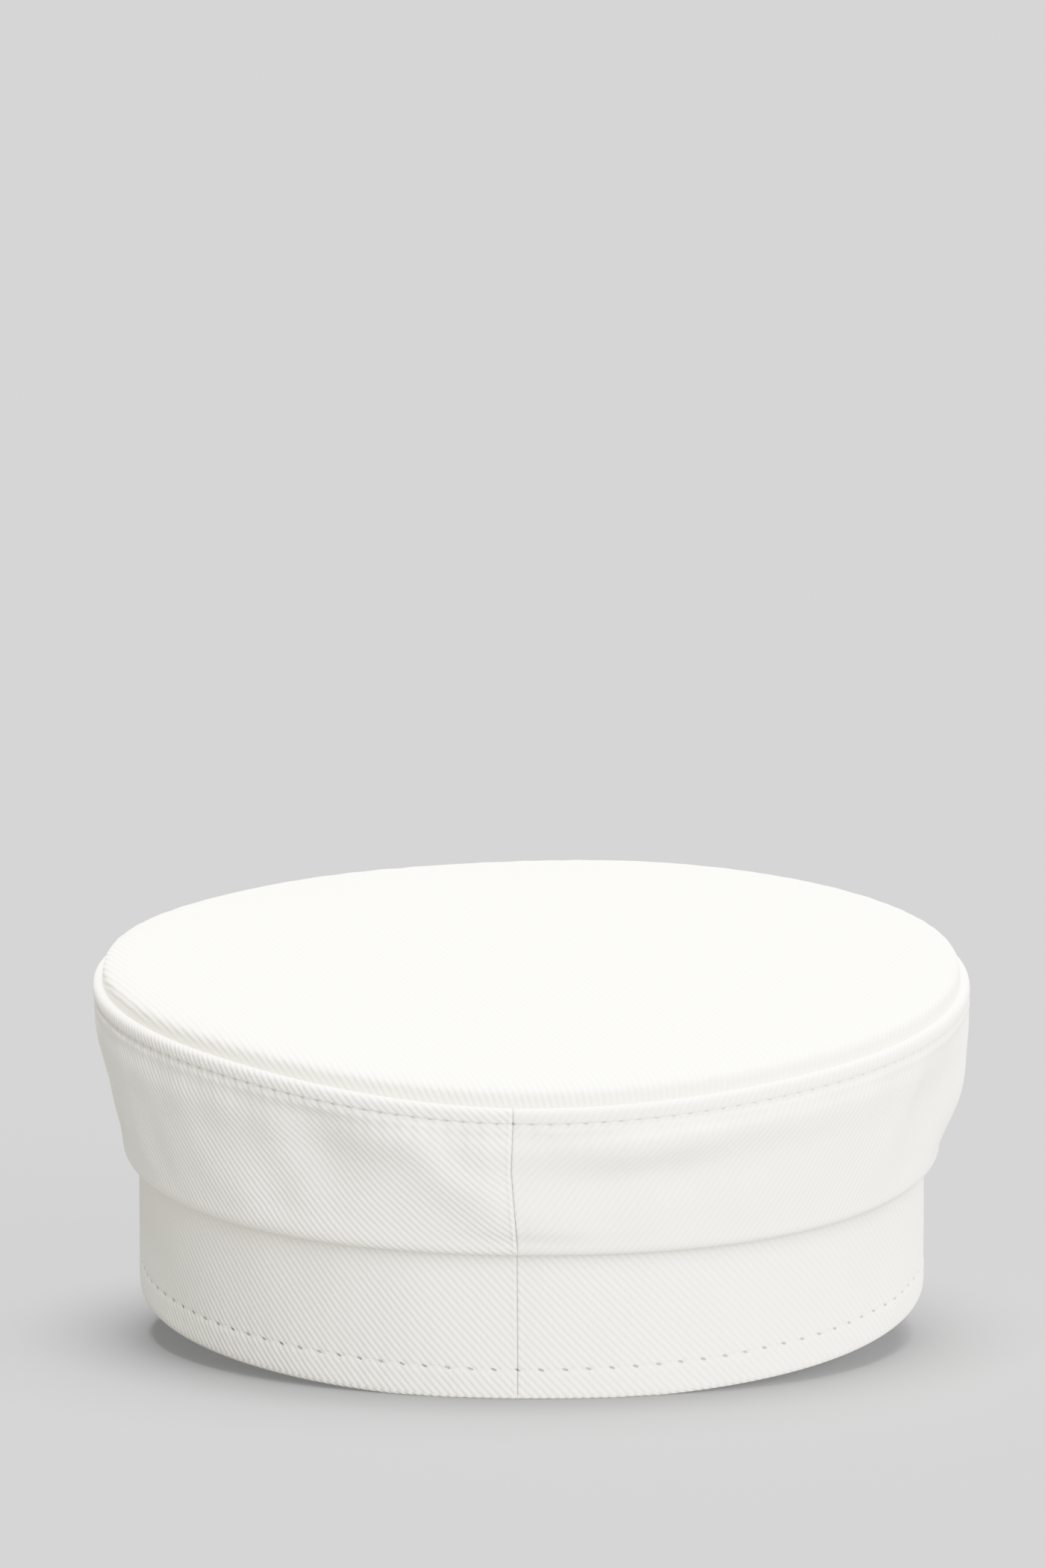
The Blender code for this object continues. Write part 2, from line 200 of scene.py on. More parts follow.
@dataclass(frozen=True)
class CapForm:
    """The cap's main form, upright. Angles run from the right-hand side towards the front."""

    head_width: float = 0.1795
    head_length: float = 0.1910
    band_height: float = 0.0350
    crown_width: float = 0.2000
    crown_length: float = 0.2100
    crown_forward: float = 0.0039
    panel_height: float = 0.0326
    front_rise: float = 0.0037
    panel_lean: float = 1.2
    fold_roll: float = 0.0024
    puff_start: float = 0.55
    fold_fade: float = 0.15
    band_wall: float = 0.0022
    cloth_wall: float = 0.0018
    lip_height: float = 0.0034
    lip_width: float = 0.0026
    stitch_dip: float = 0.0006
    groove_depth: float = 0.0010
    tip_shoulder: float = 0.0062
    tip_shoulder_run: float = 0.0090
    tip_squareness: float = 2.6
    tip_bulge: float = 0.0016
    tip_pillow: float = 0.0016
    tip_snug: float = 0.0008
    tip_snug_run: float = 0.0006
    peak_length: float = 0.0500
    peak_slope: float = radians(35.7)
    seam_gap: float = 0.0003

    def around(self, column: str, angle: Array) -> Array:
        """A column of PLACES at any angle, read off a smooth closed curve through the table's rows."""
        values = np.array([getattr(place, column) for place in PLACES])
        turn = np.mod(angle, tau) / (tau / len(PLACES))
        row = np.floor(turn).astype(int)
        share = turn - row
        before, start, end, after = (values[(row + step) % len(PLACES)] for step in (-1, 0, 1, 2))
        square, cube = share**2, share**3
        return (
            (2 * cube - 3 * square + 1) * start
            + (cube - 2 * square + share) * (end - before) / 2.0
            + (3 * square - 2 * cube) * end
            + (cube - square) * (after - start) / 2.0
        )

    def oval(self, angle: Array, size: tuple[float, float], forward: float, out: Any, height: Any) -> Array:
        """Points on a soft oval seen from above, moved straight out from it.

        Args:
            angle: The angles of the points.
            size: The oval's width and length.
            forward: How far its middle lies in front of the band's.
            out: How far the points lie out from it.
            height: Their heights.

        Returns:
            The points, with their coordinates in the last axis.
        """
        across, along = size[0] / 2.0, size[1] / 2.0
        face_x, face_y = np.cos(angle) / across, np.sin(angle) / along
        away = (out + self.around("bow", angle) * self.head_width) / np.hypot(face_x, face_y)
        x = across * np.cos(angle) + away * face_x
        y = along * np.sin(angle) + forward + away * face_y
        return np.stack(np.broadcast_arrays(x, y, height), axis=-1)

    def band_point(self, angle: Array, out: Any, height: Any) -> Array:
        """Points at a distance out from the band's outer face."""
        return self.oval(angle, (self.head_width, self.head_length), 0.0, out, height)

    def crown_point(self, angle: Array, out: Any, height: Any) -> Array:
        """Points at a distance out from the outer edge of the rolled lip."""
        return self.oval(angle, (self.crown_width, self.crown_length), self.crown_forward, out, height)

    def lip_top(self, angle: Array) -> Array:
        """Height of the top of the rolled lip."""
        front = (1.0 + np.sin(angle)) / 2.0
        lift = 1.0 + self.around("lift", angle)
        return self.band_height + self.panel_height * lift + self.front_rise * front

    def fold_low(self, angle: Array) -> Array:
        """Height of the lowest point of the panel's lower fold."""
        return self.band_height - self.around("drop", angle) * self.panel_height

    def fold_out(self, angle: Array) -> Array:
        """How far the panel's lower fold reaches out from the band."""
        return self.seam_gap + self.cloth_wall + self.around("out", angle) * self.panel_height

    def fold_depth(self, angle: Array, share: Array) -> Array:
        """How far the folds press the side panel in, at a share of its height."""
        radius = (self.crown_width + self.crown_length) / 4.0
        depth = np.zeros(np.broadcast(angle, share).shape)
        for fold in FOLDS:
            along = (np.mod(angle - radians(fold.angle) + pi, tau) - pi) * radius / self.panel_height
            up = share - fold.height
            slant = -radians(fold.turn)
            lengthwise = (along * cos(slant) + up * sin(slant)) / (fold.long / 2.0)
            crosswise = (up * cos(slant) - along * sin(slant)) / fold.wide
            depth += fold.deep * self.panel_height * 2.0 ** -(lengthwise**2 + crosswise**2)
        return depth * ease(share / self.fold_fade) * ease((1.0 - share) / self.fold_fade)

    def puff(self, angle: Array, share: Array) -> Array:
        """How far the side panel swells out under its topstitch, at a share of its height."""
        above = np.maximum(share - self.puff_start, 0.0) / (1.0 - self.puff_start)
        return self.around("puff", angle) * self.panel_height * np.sin(pi * above) ** 2

    def panel_point(self, angle: Array, share: Array, inset: float = 0.0) -> Array:
        """The side panel's outer face, from its lower fold at 0 to the topstitch under the lip at 1."""
        height = mix(self.fold_low(angle) + self.fold_roll, self.lip_top(angle) - self.lip_height, share)
        lower = self.band_point(angle, self.fold_out(angle), height)
        upper = self.crown_point(angle, -self.stitch_dip, height)
        lean = np.sin(share * pi / 2.0) ** self.panel_lean
        swell = self.puff(angle, share) - self.fold_depth(angle, share) - inset
        outward = self.band_point(angle, 1.0, 0.0) - self.band_point(angle, 0.0, 0.0)
        return mix(lower, upper, lean[..., None]) + swell[..., None] * outward

    def shoulder_share(self, reach: Array) -> Array:
        """How far over its shoulder the tip is, at a share of the way from its middle to its seam."""
        return np.minimum((1.0 - reach) * self.crown_width / 2.0 / self.tip_shoulder_run, 1.0)

    def tip_point(self, angle: Array, reach: Array) -> Array:
        """The tip's upper face, at a share of the way from its middle to its seam."""
        bulge = self.tip_bulge * np.sin(pi * np.sqrt(self.shoulder_share(reach))) ** 2
        inward = (1.0 - reach) * self.crown_width / 2.0
        snug = self.tip_snug * np.exp(-inward / self.tip_snug_run)
        edge = self.crown_point(angle, bulge + snug - self.lip_width - self.seam_gap, 0.0)
        points = mix(np.array([0.0, self.crown_forward, 0.0]), edge, reach[..., None])
        points[..., 2] = self.tip_height(angle, reach)
        return points

    def tip_height(self, angle: Array, reach: Array) -> Array:
        """Height of the tip's upper face, at a share of the way from its middle to its seam."""
        seam = self.lip_top(angle) - self.groove_depth
        front = (1.0 + np.sin(angle) * reach) / 2.0
        even = self.band_height + self.panel_height + self.front_rise * front - self.groove_depth
        tall = self.tip_shoulder + self.around("crest", angle) * self.panel_height * reach**3
        power = self.tip_squareness
        shoulder = tall * (1.0 - (1.0 - self.shoulder_share(reach)) ** power) ** (1.0 / power)
        return mix(even, seam, reach**3) + shoulder + self.tip_pillow * (1.0 - reach**2)

    def rest_tilt(self) -> float:
        """The lean at which the peak's front edge and the band's back share the floor."""
        reach = self.seam_gap + self.peak_length * cos(self.peak_slope) + self.head_length
        return atan2(self.peak_length * sin(self.peak_slope), reach)


class Stance:
    """How the upright cap is tilted and set down, found from where its solids rest."""

    def __init__(self, form: CapForm) -> None:
        """Finds the tilt from the form, and the shift by which its lip meets the side panel's box.

        Args:
            form: The cap's main form.
        """
        self.turn = np.array(Matrix.Rotation(form.rest_tilt(), 3, "X"))
        angle = np.linspace(0.0, tau, 721)
        roll = np.linspace(0.0, pi, 19)[:, None]
        out = -form.lip_width * (1.0 - np.cos(roll)) / 2.0
        height = form.lip_top(angle) - form.lip_width / 2.0 * (1.0 - np.sin(roll))
        lip = (form.crown_point(angle, out, height) @ self.turn.T).reshape(-1, 3)
        low, high = (np.array(corner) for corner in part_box("side_panel"))
        middle = (low + high - lip.min(0) - lip.max(0))[0] / 2.0
        self.shift = np.array([middle, low[1] - lip.min(0)[1], high[2] - lip.max(0)[2]])

    def settle(self, points: Array) -> Array:
        """Points of the upright cap where it rests, pressed flat against the floor where they reach it."""
        placed = points @ self.turn.T + self.shift
        placed[..., 2] = np.maximum(placed[..., 2], 0.0)
        return placed


@dataclass(frozen=True)
class Ripples:
    """Small soft unevenness of cloth, as a sum of waves that close round the cap."""

    seed: int
    depth: float
    fewest_round: int
    most_round: int
    most_up: float
    waves: int = 26

    def depth_at(self, turn: Array, up: Array) -> Array:
        """How far the cloth stands out.

        Args:
            turn: The share of the way round the cap.
            up: The share of the way up the piece.

        Returns:
            Distances outward, in metres.
        """
        chance = np.random.default_rng(self.seed)
        total = np.zeros(np.broadcast(turn, up).shape)
        weight = 0.0
        for _ in range(self.waves):
            around = int(chance.integers(self.fewest_round, self.most_round + 1))
            rise = chance.uniform(-self.most_up, self.most_up)
            phase = chance.uniform(0.0, tau)
            strength = self.fewest_round / around
            total += strength * np.cos(tau * (around * turn + rise * up) + phase)
            weight += strength**2 / 2.0
        return self.depth * total / weight**0.5


@dataclass
class ClothGrid:
    """A cloth surface of rows and columns whose columns close round the cap.

    grain, sewing and crease have one column more than points, and one row more where the rows are
    looped, because the cloth's own measures don't close where its surface does.
    """

    points: Array
    grain: Array
    looped_rows: bool
    sewing: Array | None = None
    # How much shade is painted at each point, from 0 to 1.
    crease: Array | None = None

    def corners(self) -> tuple[Array, Array]:
        """Each face's four corners as rows and columns, counted past the end where the surface closes."""
        rows, columns = self.points.shape[:2]
        faces_up = rows - (not self.looped_rows)
        down, across = np.meshgrid(np.arange(faces_up), np.arange(columns), indexing="ij")
        corner_rows = np.stack([down, down, down + 1, down + 1], axis=-1).reshape(-1, 4)
        corner_columns = np.stack([across, across + 1, across + 1, across], axis=-1).reshape(-1, 4)
        return corner_rows, corner_columns

    def make(self, name: str) -> bpy.types.Object:
        """Makes the mesh object.

        Args:
            name: The piece's name.

        Returns:
            The object, linked to the scene and shaded smooth.
        """
        rows, columns = self.points.shape[:2]
        corner_rows, corner_columns = self.corners()
        faces = (corner_rows % rows) * columns + corner_columns % columns
        mesh = bpy.data.meshes.new(name)
        mesh.from_pydata(self.points.reshape(-1, 3).tolist(), [], faces.tolist())
        for title, measure in ((GRAIN_MAP, self.grain), (SEWING_MAP, self.sewing)):
            if measure is not None:
                layer = mesh.uv_layers.new(name=title)
                layer.data.foreach_set("uv", measure[corner_rows, corner_columns].ravel())
        if self.crease is not None:
            mark = mesh.attributes.new(PAINTED_SHADE_MARK, "FLOAT", "POINT")
            mark.data.foreach_set("value", self.crease.astype(np.float32).ravel())
        return finish_piece(name, mesh)


def finish_piece(name: str, mesh: bpy.types.Mesh) -> bpy.types.Object:
    """Welds a mesh's doubled points, shades it smooth and puts it in the scene.

    Args:
        name: The piece's name.
        mesh: Its mesh.

    Returns:
        The object.
    """
    tidy = bmesh.new()
    tidy.from_mesh(mesh)
    bmesh.ops.remove_doubles(tidy, verts=tidy.verts, dist=1e-7)
    tidy.to_mesh(mesh)
    tidy.free()
    mesh.shade_smooth()
    piece = bpy.data.objects.new(name, mesh)
    bpy.context.scene.collection.objects.link(piece)
    return piece


def hand_over(piece: bpy.types.Object, replaced: tuple[str, ...] = ()) -> None:
    """Attaches a finished piece to its body, hides the solids that it stands for, and logs it.

    Args:
        piece: The piece.
        replaced: The solids that it stands for.
    """
    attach(piece, BODY)
    if replaced:
        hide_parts(*replaced)
    log.info("%s: %d faces", piece.name, len(piece.data.polygons))


class Wire:
    """An output in a material's node tree. Sums of wires and numbers add the Math nodes that they need."""

    def __init__(self, bench: "Bench", socket: bpy.types.NodeSocket) -> None:
        """Keeps the output and the bench that its tree belongs to."""
        self.bench = bench
        self.socket = socket

    def output(self, name: str) -> "Wire":
        """Another output of the same node."""
        return Wire(self.bench, self.socket.node.outputs[name])

    def shaped(self, operation: str) -> "Wire":
        """A function of this value, such as its sine."""
        return self.bench.node("ShaderNodeMath", {"operation": operation}, {0: self})

    def clamped(self) -> "Wire":
        """This value, kept from 0 to 1."""
        return self.bench.node("ShaderNodeMath", {"operation": "ADD", "use_clamp": True}, {0: self, 1: 0.0})

    def joined(self, operation: str, first: "Wire | float", second: "Wire | float") -> "Wire":
        """The Math node of two values."""
        return self.bench.node("ShaderNodeMath", {"operation": operation}, {0: first, 1: second})

    def __add__(self, other: "Wire | float") -> "Wire":
        """This plus the other."""
        return self.joined("ADD", self, other)

    def __radd__(self, other: float) -> "Wire":
        """The other plus this."""
        return self.joined("ADD", other, self)

    def __sub__(self, other: "Wire | float") -> "Wire":
        """This less the other."""
        return self.joined("SUBTRACT", self, other)

    def __rsub__(self, other: float) -> "Wire":
        """The other less this."""
        return self.joined("SUBTRACT", other, self)

    def __mul__(self, other: "Wire | float") -> "Wire":
        """This times the other."""
        return self.joined("MULTIPLY", self, other)

    def __rmul__(self, other: float) -> "Wire":
        """The other times this."""
        return self.joined("MULTIPLY", other, self)

    def __pow__(self, other: float) -> "Wire":
        """This to a power."""
        return self.joined("POWER", self, other)


class Bench:
    """The node tree of one material, where a finish is put together."""

    def __init__(self, name: str) -> None:
        """Starts a material with its Principled shader."""
        self.material = bpy.data.materials.new(name)
        self.material.use_nodes = True
        self.tree = self.material.node_tree
        self.shader = self.tree.nodes["Principled BSDF"]

    def feed(self, socket: bpy.types.NodeSocket, value: Any) -> None:
        """Links a wire to a socket, or sets the socket to a plain value."""
        if isinstance(value, Wire):
            self.tree.links.new(value.socket, socket)
        else:
            socket.default_value = value

    def node(
        self, kind: str, settings: Mapping[str, Any], values: Mapping[int | str, Any], output: int = 0
    ) -> Wire:
        """Adds one node.

        Args:
            kind: The node's type.
            settings: Its own settings, set before its sockets.
            values: What each socket is given, by its number or name: a plain value or a wire.
            output: The number of the output to hand back.

        Returns:
            That output.
        """
        node = self.tree.nodes.new(kind)
        for name, value in settings.items():
            setattr(node, name, value)
        for key, value in values.items():
            self.feed(node.inputs[key], value)
        return Wire(self, node.outputs[output])

    def split(self, vector: Wire) -> tuple[Wire, Wire]:
        """The first two coordinates of a vector."""
        first = self.node("ShaderNodeSeparateXYZ", {}, {0: vector})
        return first, first.output("Y")

    def noise(self, across: Wire, along: Wire, detail: float = 2.0) -> Wire:
        """Smooth noise from 0 to 1 over two coordinates whose unit is the size of its grains."""
        place = self.node("ShaderNodeCombineXYZ", {}, {0: across, 1: along})
        settings = {"noise_dimensions": "2D"}
        return self.node("ShaderNodeTexNoise", settings, {"Vector": place, "Scale": 1.0, "Detail": detail})

    def tint(self, share: Wire | float, low: Any, high: Any) -> Wire:
        """A colour at a share of the way from low to high."""
        sockets = {0: share, 6: low, 7: high}
        return self.node("ShaderNodeMix", {"data_type": "RGBA"}, sockets, output=2)

    def scaled(self, colour: Wire, factor: Wire) -> Wire:
        """A colour made lighter or darker by a factor."""
        return self.node("ShaderNodeVectorMath", {"operation": "SCALE"}, {0: colour, "Scale": factor})

    def set_shader(self, values: Mapping[str, Any]) -> None:
        """Sets or links sockets of the shader by name."""
        for name, value in values.items():
            self.feed(self.shader.inputs[name], value)


@dataclass(frozen=True)
class NeedleHoles:
    """The slits of a topstitch, where the thread goes down into the cloth, with shade painted in them."""

    pitch: float
    long: float = 0.0016
    wide: float = 0.00070
    slant: float = -0.25
    # How much darker the cloth's colour is painted in a hole: painted shade.
    darkness: float = 0.75
    depth: float = 0.00025
    sharpness: float = 1.6

    def mask(self, bench: Bench) -> Wire:
        """Where the holes are, from 0 on the plain cloth to 1 in the middle of a hole."""
        sewing = bench.node("ShaderNodeUVMap", {"uv_map": SEWING_MAP}, {})
        count, off = bench.split(sewing)
        along = ((count + 0.5).shaped("FRACT") - 0.5) * self.pitch
        lengthwise = along * (2.0 / self.long)
        crosswise = (off - along * self.slant) * (2.0 / self.wide)
        return ((1.0 - lengthwise * lengthwise - crosswise * crosswise) * self.sharpness).clamped()


@dataclass(frozen=True)
class Twill:
    """Heavy cotton twill: slanting ribs made of floats of its warp yarns."""

    name: str
    cloth: Colour = (0.905, 0.885, 0.728)
    # The grooves' colour is darker than the cloth's: painted shade between the ribs.
    groove: Colour = (0.690, 0.668, 0.537)
    yarn: float = 0.000497
    pick: float = 0.000523
    repeat: int = 4
    rib_roundness: float = 0.8
    rib_depth: float = 0.00024
    # How far the ribs fade out over patches of the cloth, and the patches' size.
    fading: float = 0.40
    fading_size: float = 0.0080
    # How unevenly each rib stands out along its length, and how long its uneven places are.
    unevenness: float = 0.50
    uneven_long: float = 0.0018
    yarn_share: float = 0.40
    fuzz_depth: float = 0.00004
    fuzz_size: float = 0.00024
    wanders: tuple[tuple[float, float], ...] = ((0.0032, 0.00022), (0.0150, 0.00060))
    mottle: float = 0.035
    mottle_size: float = 0.0006
    # How much darker the cloth's colour is painted where the crease mark is full: painted shade in creases,
    # seams and stitch grooves, and under the fold.
    crease_darkness: float = 0.55
    holes: NeedleHoles | None = None

    def dress(self, piece: bpy.types.Object) -> None:
        """Gives a piece this finish.

        Args:
            piece: A piece whose mesh holds the cloth's grain.
        """
        bench = Bench(self.name)
        across, along = bench.split(bench.node("ShaderNodeUVMap", {"uv_map": GRAIN_MAP}, {}))
        relief = self.relief(bench, across, along)
        fuzz = bench.noise(across * (1.0 / self.fuzz_size), along * (1.0 / self.fuzz_size))
        mottle = bench.noise(across * (1.0 / self.mottle_size), along * (0.4 / self.mottle_size))
        height = relief * self.rib_depth + fuzz * self.fuzz_depth
        # Painted shade from the mark, and below it in the needle holes, darkens the colour.
        crease = bench.node("ShaderNodeAttribute", {"attribute_name": PAINTED_SHADE_MARK}, {}, output=2)
        shade = (1.0 + (mottle + fuzz - 1.0) * self.mottle) * (1.0 - crease * self.crease_darkness)
        if self.holes:
            mask = self.holes.mask(bench)
            shade = shade * (1.0 - mask * self.holes.darkness)
            height = height - mask * self.holes.depth
        # The grooves are painted darker: painted shade between the ribs.
        colour = bench.tint(relief, (*self.groove, 1.0), (*self.cloth, 1.0))
        bump = bench.node("ShaderNodeBump", {}, {"Height": height, "Distance": 1.0, "Strength": 1.0})
        bench.set_shader(
            {
                "Base Color": bench.scaled(colour, shade),
                "Normal": bump,
                "Roughness": 0.92,
                "Specular IOR Level": 0.25,
                "Sheen Weight": 0.02,
                "Sheen Roughness": 0.5,
            }
        )
        piece.data.materials.append(bench.material)

    def relief(self, bench: Bench, across: Wire, along: Wire) -> Wire:
        """The cloth's relief, from 0 in the grooves to 1 on the ribs.

        Args:
            bench: The material's node tree.
            across: Distance across the warp yarns.
            along: Distance along them.

        Returns:
            The relief.
        """
        wander: Wire | float = 0.0
        for size, reach in self.wanders:
            wander = (bench.noise(across * (1.0 / size), along * (1.0 / size)) - 0.5) * reach + wander
        rib_across, rib_along = 1.0 / (self.yarn * self.repeat), 1.0 / (self.pick * self.repeat)
        count = (across + wander) * rib_across + along * rib_along
        lengthwise = (across * rib_along - along * rib_across) * (1.0 / (rib_across**2 + rib_along**2) ** 0.5)
        uneven = bench.noise(count, lengthwise * (1.0 / self.uneven_long))
        patches = bench.noise(across * (1.0 / self.fading_size), along * (1.0 / self.fading_size))
        rib = ((count * tau).shaped("COSINE") * 0.5 + 0.5) ** self.rib_roundness
        yarn = (across * (pi / self.yarn)).shaped("SINE").shaped("ABSOLUTE")
        strength = (1.0 - (1.0 - uneven) * self.unevenness) * (1.0 - (1.0 - patches) * self.fading)
        return rib * strength * (1.0 - self.yarn_share + self.yarn_share * yarn)


@dataclass(frozen=True)
class SewingThread:
    """Spun sewing thread, twisted from two plies."""

    colour: Colour = (0.87, 0.855, 0.77)
    # How much darker the colour is painted between the plies: painted shade.
    shade: float = 0.92
    ply_length: float = 0.0011
    ply_depth: float = 0.00002

    def dress(self, piece: bpy.types.Object) -> None:
        """Gives a row of stitches this finish."""
        bench = Bench(f"{piece.name}_thread")
        along, turn = bench.split(bench.node("ShaderNodeUVMap", {"uv_map": GRAIN_MAP}, {}))
        ply = ((along * (1.0 / self.ply_length) + turn * 2.0) * tau).shaped("SINE") * 0.5 + 0.5
        darker = tuple(part * self.shade for part in self.colour)
        colour = bench.tint(ply, (*darker, 1.0), (*self.colour, 1.0))
        strands = {"Height": ply * self.ply_depth, "Distance": 1.0, "Strength": 1.0}
        bump = bench.node("ShaderNodeBump", {}, strands)
        bench.set_shader({"Base Color": colour, "Normal": bump, "Roughness": 0.75, "Sheen Weight": 0.1})
        piece.data.materials.append(bench.material)


@dataclass(frozen=True)
class Paper:
    """The plain matt paper that the cap stands on."""

    colour: Colour = (0.083, 0.083, 0.083)
    # A uniform emission over the whole floor, which makes its shadows lighter. It was fitted with the suns.
    glow: float = 0.18
    mottle: float = 0.02
    grain: float = 0.004

    def dress(self, piece: bpy.types.Object) -> None:
        """Gives the floor this finish."""
        bench = Bench("studio_paper")
        place = bench.node("ShaderNodeNewGeometry", {}, {})
        across, along = bench.split(place)
        mottle = bench.noise(across * (1.0 / self.grain), along * (1.0 / self.grain), 4.0)
        lighter = tuple(part * (1.0 + self.mottle) for part in self.colour)
        bench.set_shader(
            {
                "Base Color": bench.tint(mottle, (*self.colour, 1.0), (*lighter, 1.0)),
                "Roughness": 0.95,
                "Specular IOR Level": 0.1,
                "Emission Color": (1.0, 1.0, 1.0, 1.0),
                "Emission Strength": self.glow,
            }
        )
        piece.data.materials.append(bench.material)


@dataclass
class SewnLine:
    """A line on a cloth surface that stitches follow, given at columns round the cap."""

    turns: Array
    points: Array
    normals: Array
    closed: bool = True

    def at(self, turn: Array, values: Array) -> Array:
        """Values of the line's columns at any turn."""
        turns = np.concatenate([self.turns, [1.0]]) if self.closed else self.turns
        rows = np.concatenate([values, values[:1]]) if self.closed else values
        where = np.mod(turn, 1.0) if self.closed else turn
        return np.stack([np.interp(where, turns, rows[:, axis]) for axis in range(3)], axis=-1)


@dataclass(frozen=True)
class StitchRow:
    """A row of topstitches, each a short thread that dives into the cloth at both ends."""

    name: str
    count: int
    thread: float = 0.00026
    share: float = 0.80
    lift: float = -0.00005
    dive: float = 0.00045
    steps: int = 9
    sides: int = 8

    def sew(self, line: SewnLine, stance: Stance, slot: Slot) -> bpy.types.Object:
        """Makes the row along a line.

        Args:
            line: The line on the upright cap.
            stance: How the cap rests.
            slot: The material slot of the cloth that it is sewn through.

        Returns:
            The stitches, as one piece.
        """
        along = np.linspace(-1.0, 1.0, self.steps)
        turn = (np.arange(self.count)[:, None] + 0.5 + along * self.share / 2.0) / self.count
        if not line.closed:
            turn = mix(line.turns[0], line.turns[-1], turn)
        path = line.at(turn, line.points)
        normal = unit(line.at(turn, line.normals))
        path = path + normal * (self.lift - self.dive * np.abs(along) ** 3)[None, :, None]
        tangent = unit(np.gradient(path, axis=1))
        side = unit(np.cross(normal, tangent))
        over = np.cross(tangent, side)
        psi = np.linspace(0.0, tau, self.sides, endpoint=False)
        radius = self.thread / 2.0 * np.sqrt(np.maximum(1.0 - along**8, 0.0))
        ring = side[:, :, None] * np.cos(psi)[:, None] + over[:, :, None] * np.sin(psi)[:, None]
        tube = stance.settle(path[:, :, None] + ring * radius[None, :, None, None])
        length = np.linalg.norm(np.diff(path, axis=1), axis=-1).sum() / self.count
        return self.mesh(tube, length, slot)

    def mesh(self, tube: Array, length: float, slot: Slot) -> bpy.types.Object:
        """Joins the threads' rings into one mesh piece.

        Args:
            tube: The rings' points, as stitches, steps, sides and coordinates.
            length: The length of one stitch.
            slot: The material slot; it is not used.

        Returns:
            The piece.
        """
        stitch, step, side = np.meshgrid(
            np.arange(self.count), np.arange(self.steps - 1), np.arange(self.sides), indexing="ij"
        )
        corners = np.stack([side, side + 1, side + 1, side], axis=-1).reshape(-1, 4)
        steps = np.stack([step, step, step + 1, step + 1], axis=-1).reshape(-1, 4)
        start = (stitch * self.steps * self.sides).reshape(-1, 1)
        faces = start + steps * self.sides + corners % self.sides
        mesh = bpy.data.meshes.new(self.name)
        mesh.from_pydata(tube.reshape(-1, 3).tolist(), [], faces[:, ::-1].tolist())
        twist = np.stack([steps[:, ::-1] * length / (self.steps - 1), corners[:, ::-1] / self.sides], axis=-1)
        mesh.uv_layers.new(name=GRAIN_MAP).data.foreach_set("uv", twist.ravel())
        piece = finish_piece(self.name, mesh)
        SewingThread().dress(piece)
        hand_over(piece)
        return piece


@dataclass(frozen=True)
class BackSeam:
    """The seam at the middle of the back, where the two ends of a strip of cloth meet."""

    depth: float = 0.00035
    width: float = 0.00014
    dip: float = 0.00012
    dip_width: float = 0.0030
    left_roll: float = 0.00016
    left_at: float = 0.00075
    left_width: float = 0.00045
    right_roll: float = 0.00005
    right_at: float = 0.00080
    reach: float = 0.0150
    unevenness: float = 0.35
    # The lengths of the two waves in which the thread pulls more and less along the seam.
    pull_lengths: tuple[float, float] = (0.0047, 0.0113)

    def relief(self, right: Array, up: Array) -> Array:
        """How far the cloth stands out near the seam.

        Args:
            right: Distance to the right of the seam, seen from behind.
            up: Height.

        Returns:
            Distances outward.
        """
        short, long = self.pull_lengths
        slack = 0.5 + 0.5 * np.sin(up * tau / short) * np.sin(up * tau / long + 1.0)
        pull = 1.0 - self.unevenness * slack
        rolls = self.left_roll * bell(right + self.left_at, self.left_width)
        rolls = rolls + self.right_roll * bell(right - self.right_at, self.left_width)
        return rolls - self.depth * pull * bell(right, self.width) - self.dip * bell(right, self.dip_width)

    def crease(self, right: Array) -> Array:
        """How much shade is painted in the seam's groove, from 0 to 1."""
        return bell(right - self.width / 2.0, self.width * 1.8)


def turns_round(count: int, girth: float, seam: BackSeam) -> Array:
    """Shares of the way round from the back seam to the right, closer together at the seam.

    Args:
        count: How many columns there are.
        girth: The distance round.
        seam: The back seam; it is not used.

    Returns:
        count + 1 turns from 0 to 1.
    """
    ends = (0.0, 0.004, 4.0), (girth, 0.004, 4.0), (0.0, 0.0006, 12.0), (girth, 0.0006, 12.0)
    return spread(count, girth, ends) / girth


def turn_angle(turn: Array) -> Array:
    """The angle of a turn that starts at the middle of the back."""
    return tau * turn - pi / 2.0


def along_yarns(x: Array, y: Array, warp: float) -> Array:
    """Places on the flat cloth, measured across and along warp yarns that run at an angle."""
    return np.stack([x * sin(warp) - y * cos(warp), x * cos(warp) + y * sin(warp)], axis=-1)


def gap_shade(angle: Array) -> Array:
    """How deep the painted shade under the fold is, from 0 at the front to 1 at the back."""
    return (1.0 + np.cos(angle)) / 2.0


def right_of_seam(turn: Array, girth: float) -> Array:
    """Distance to the right of the back seam, negative to its left."""
    return (np.mod(turn + 0.5, 1.0) - 0.5) * girth


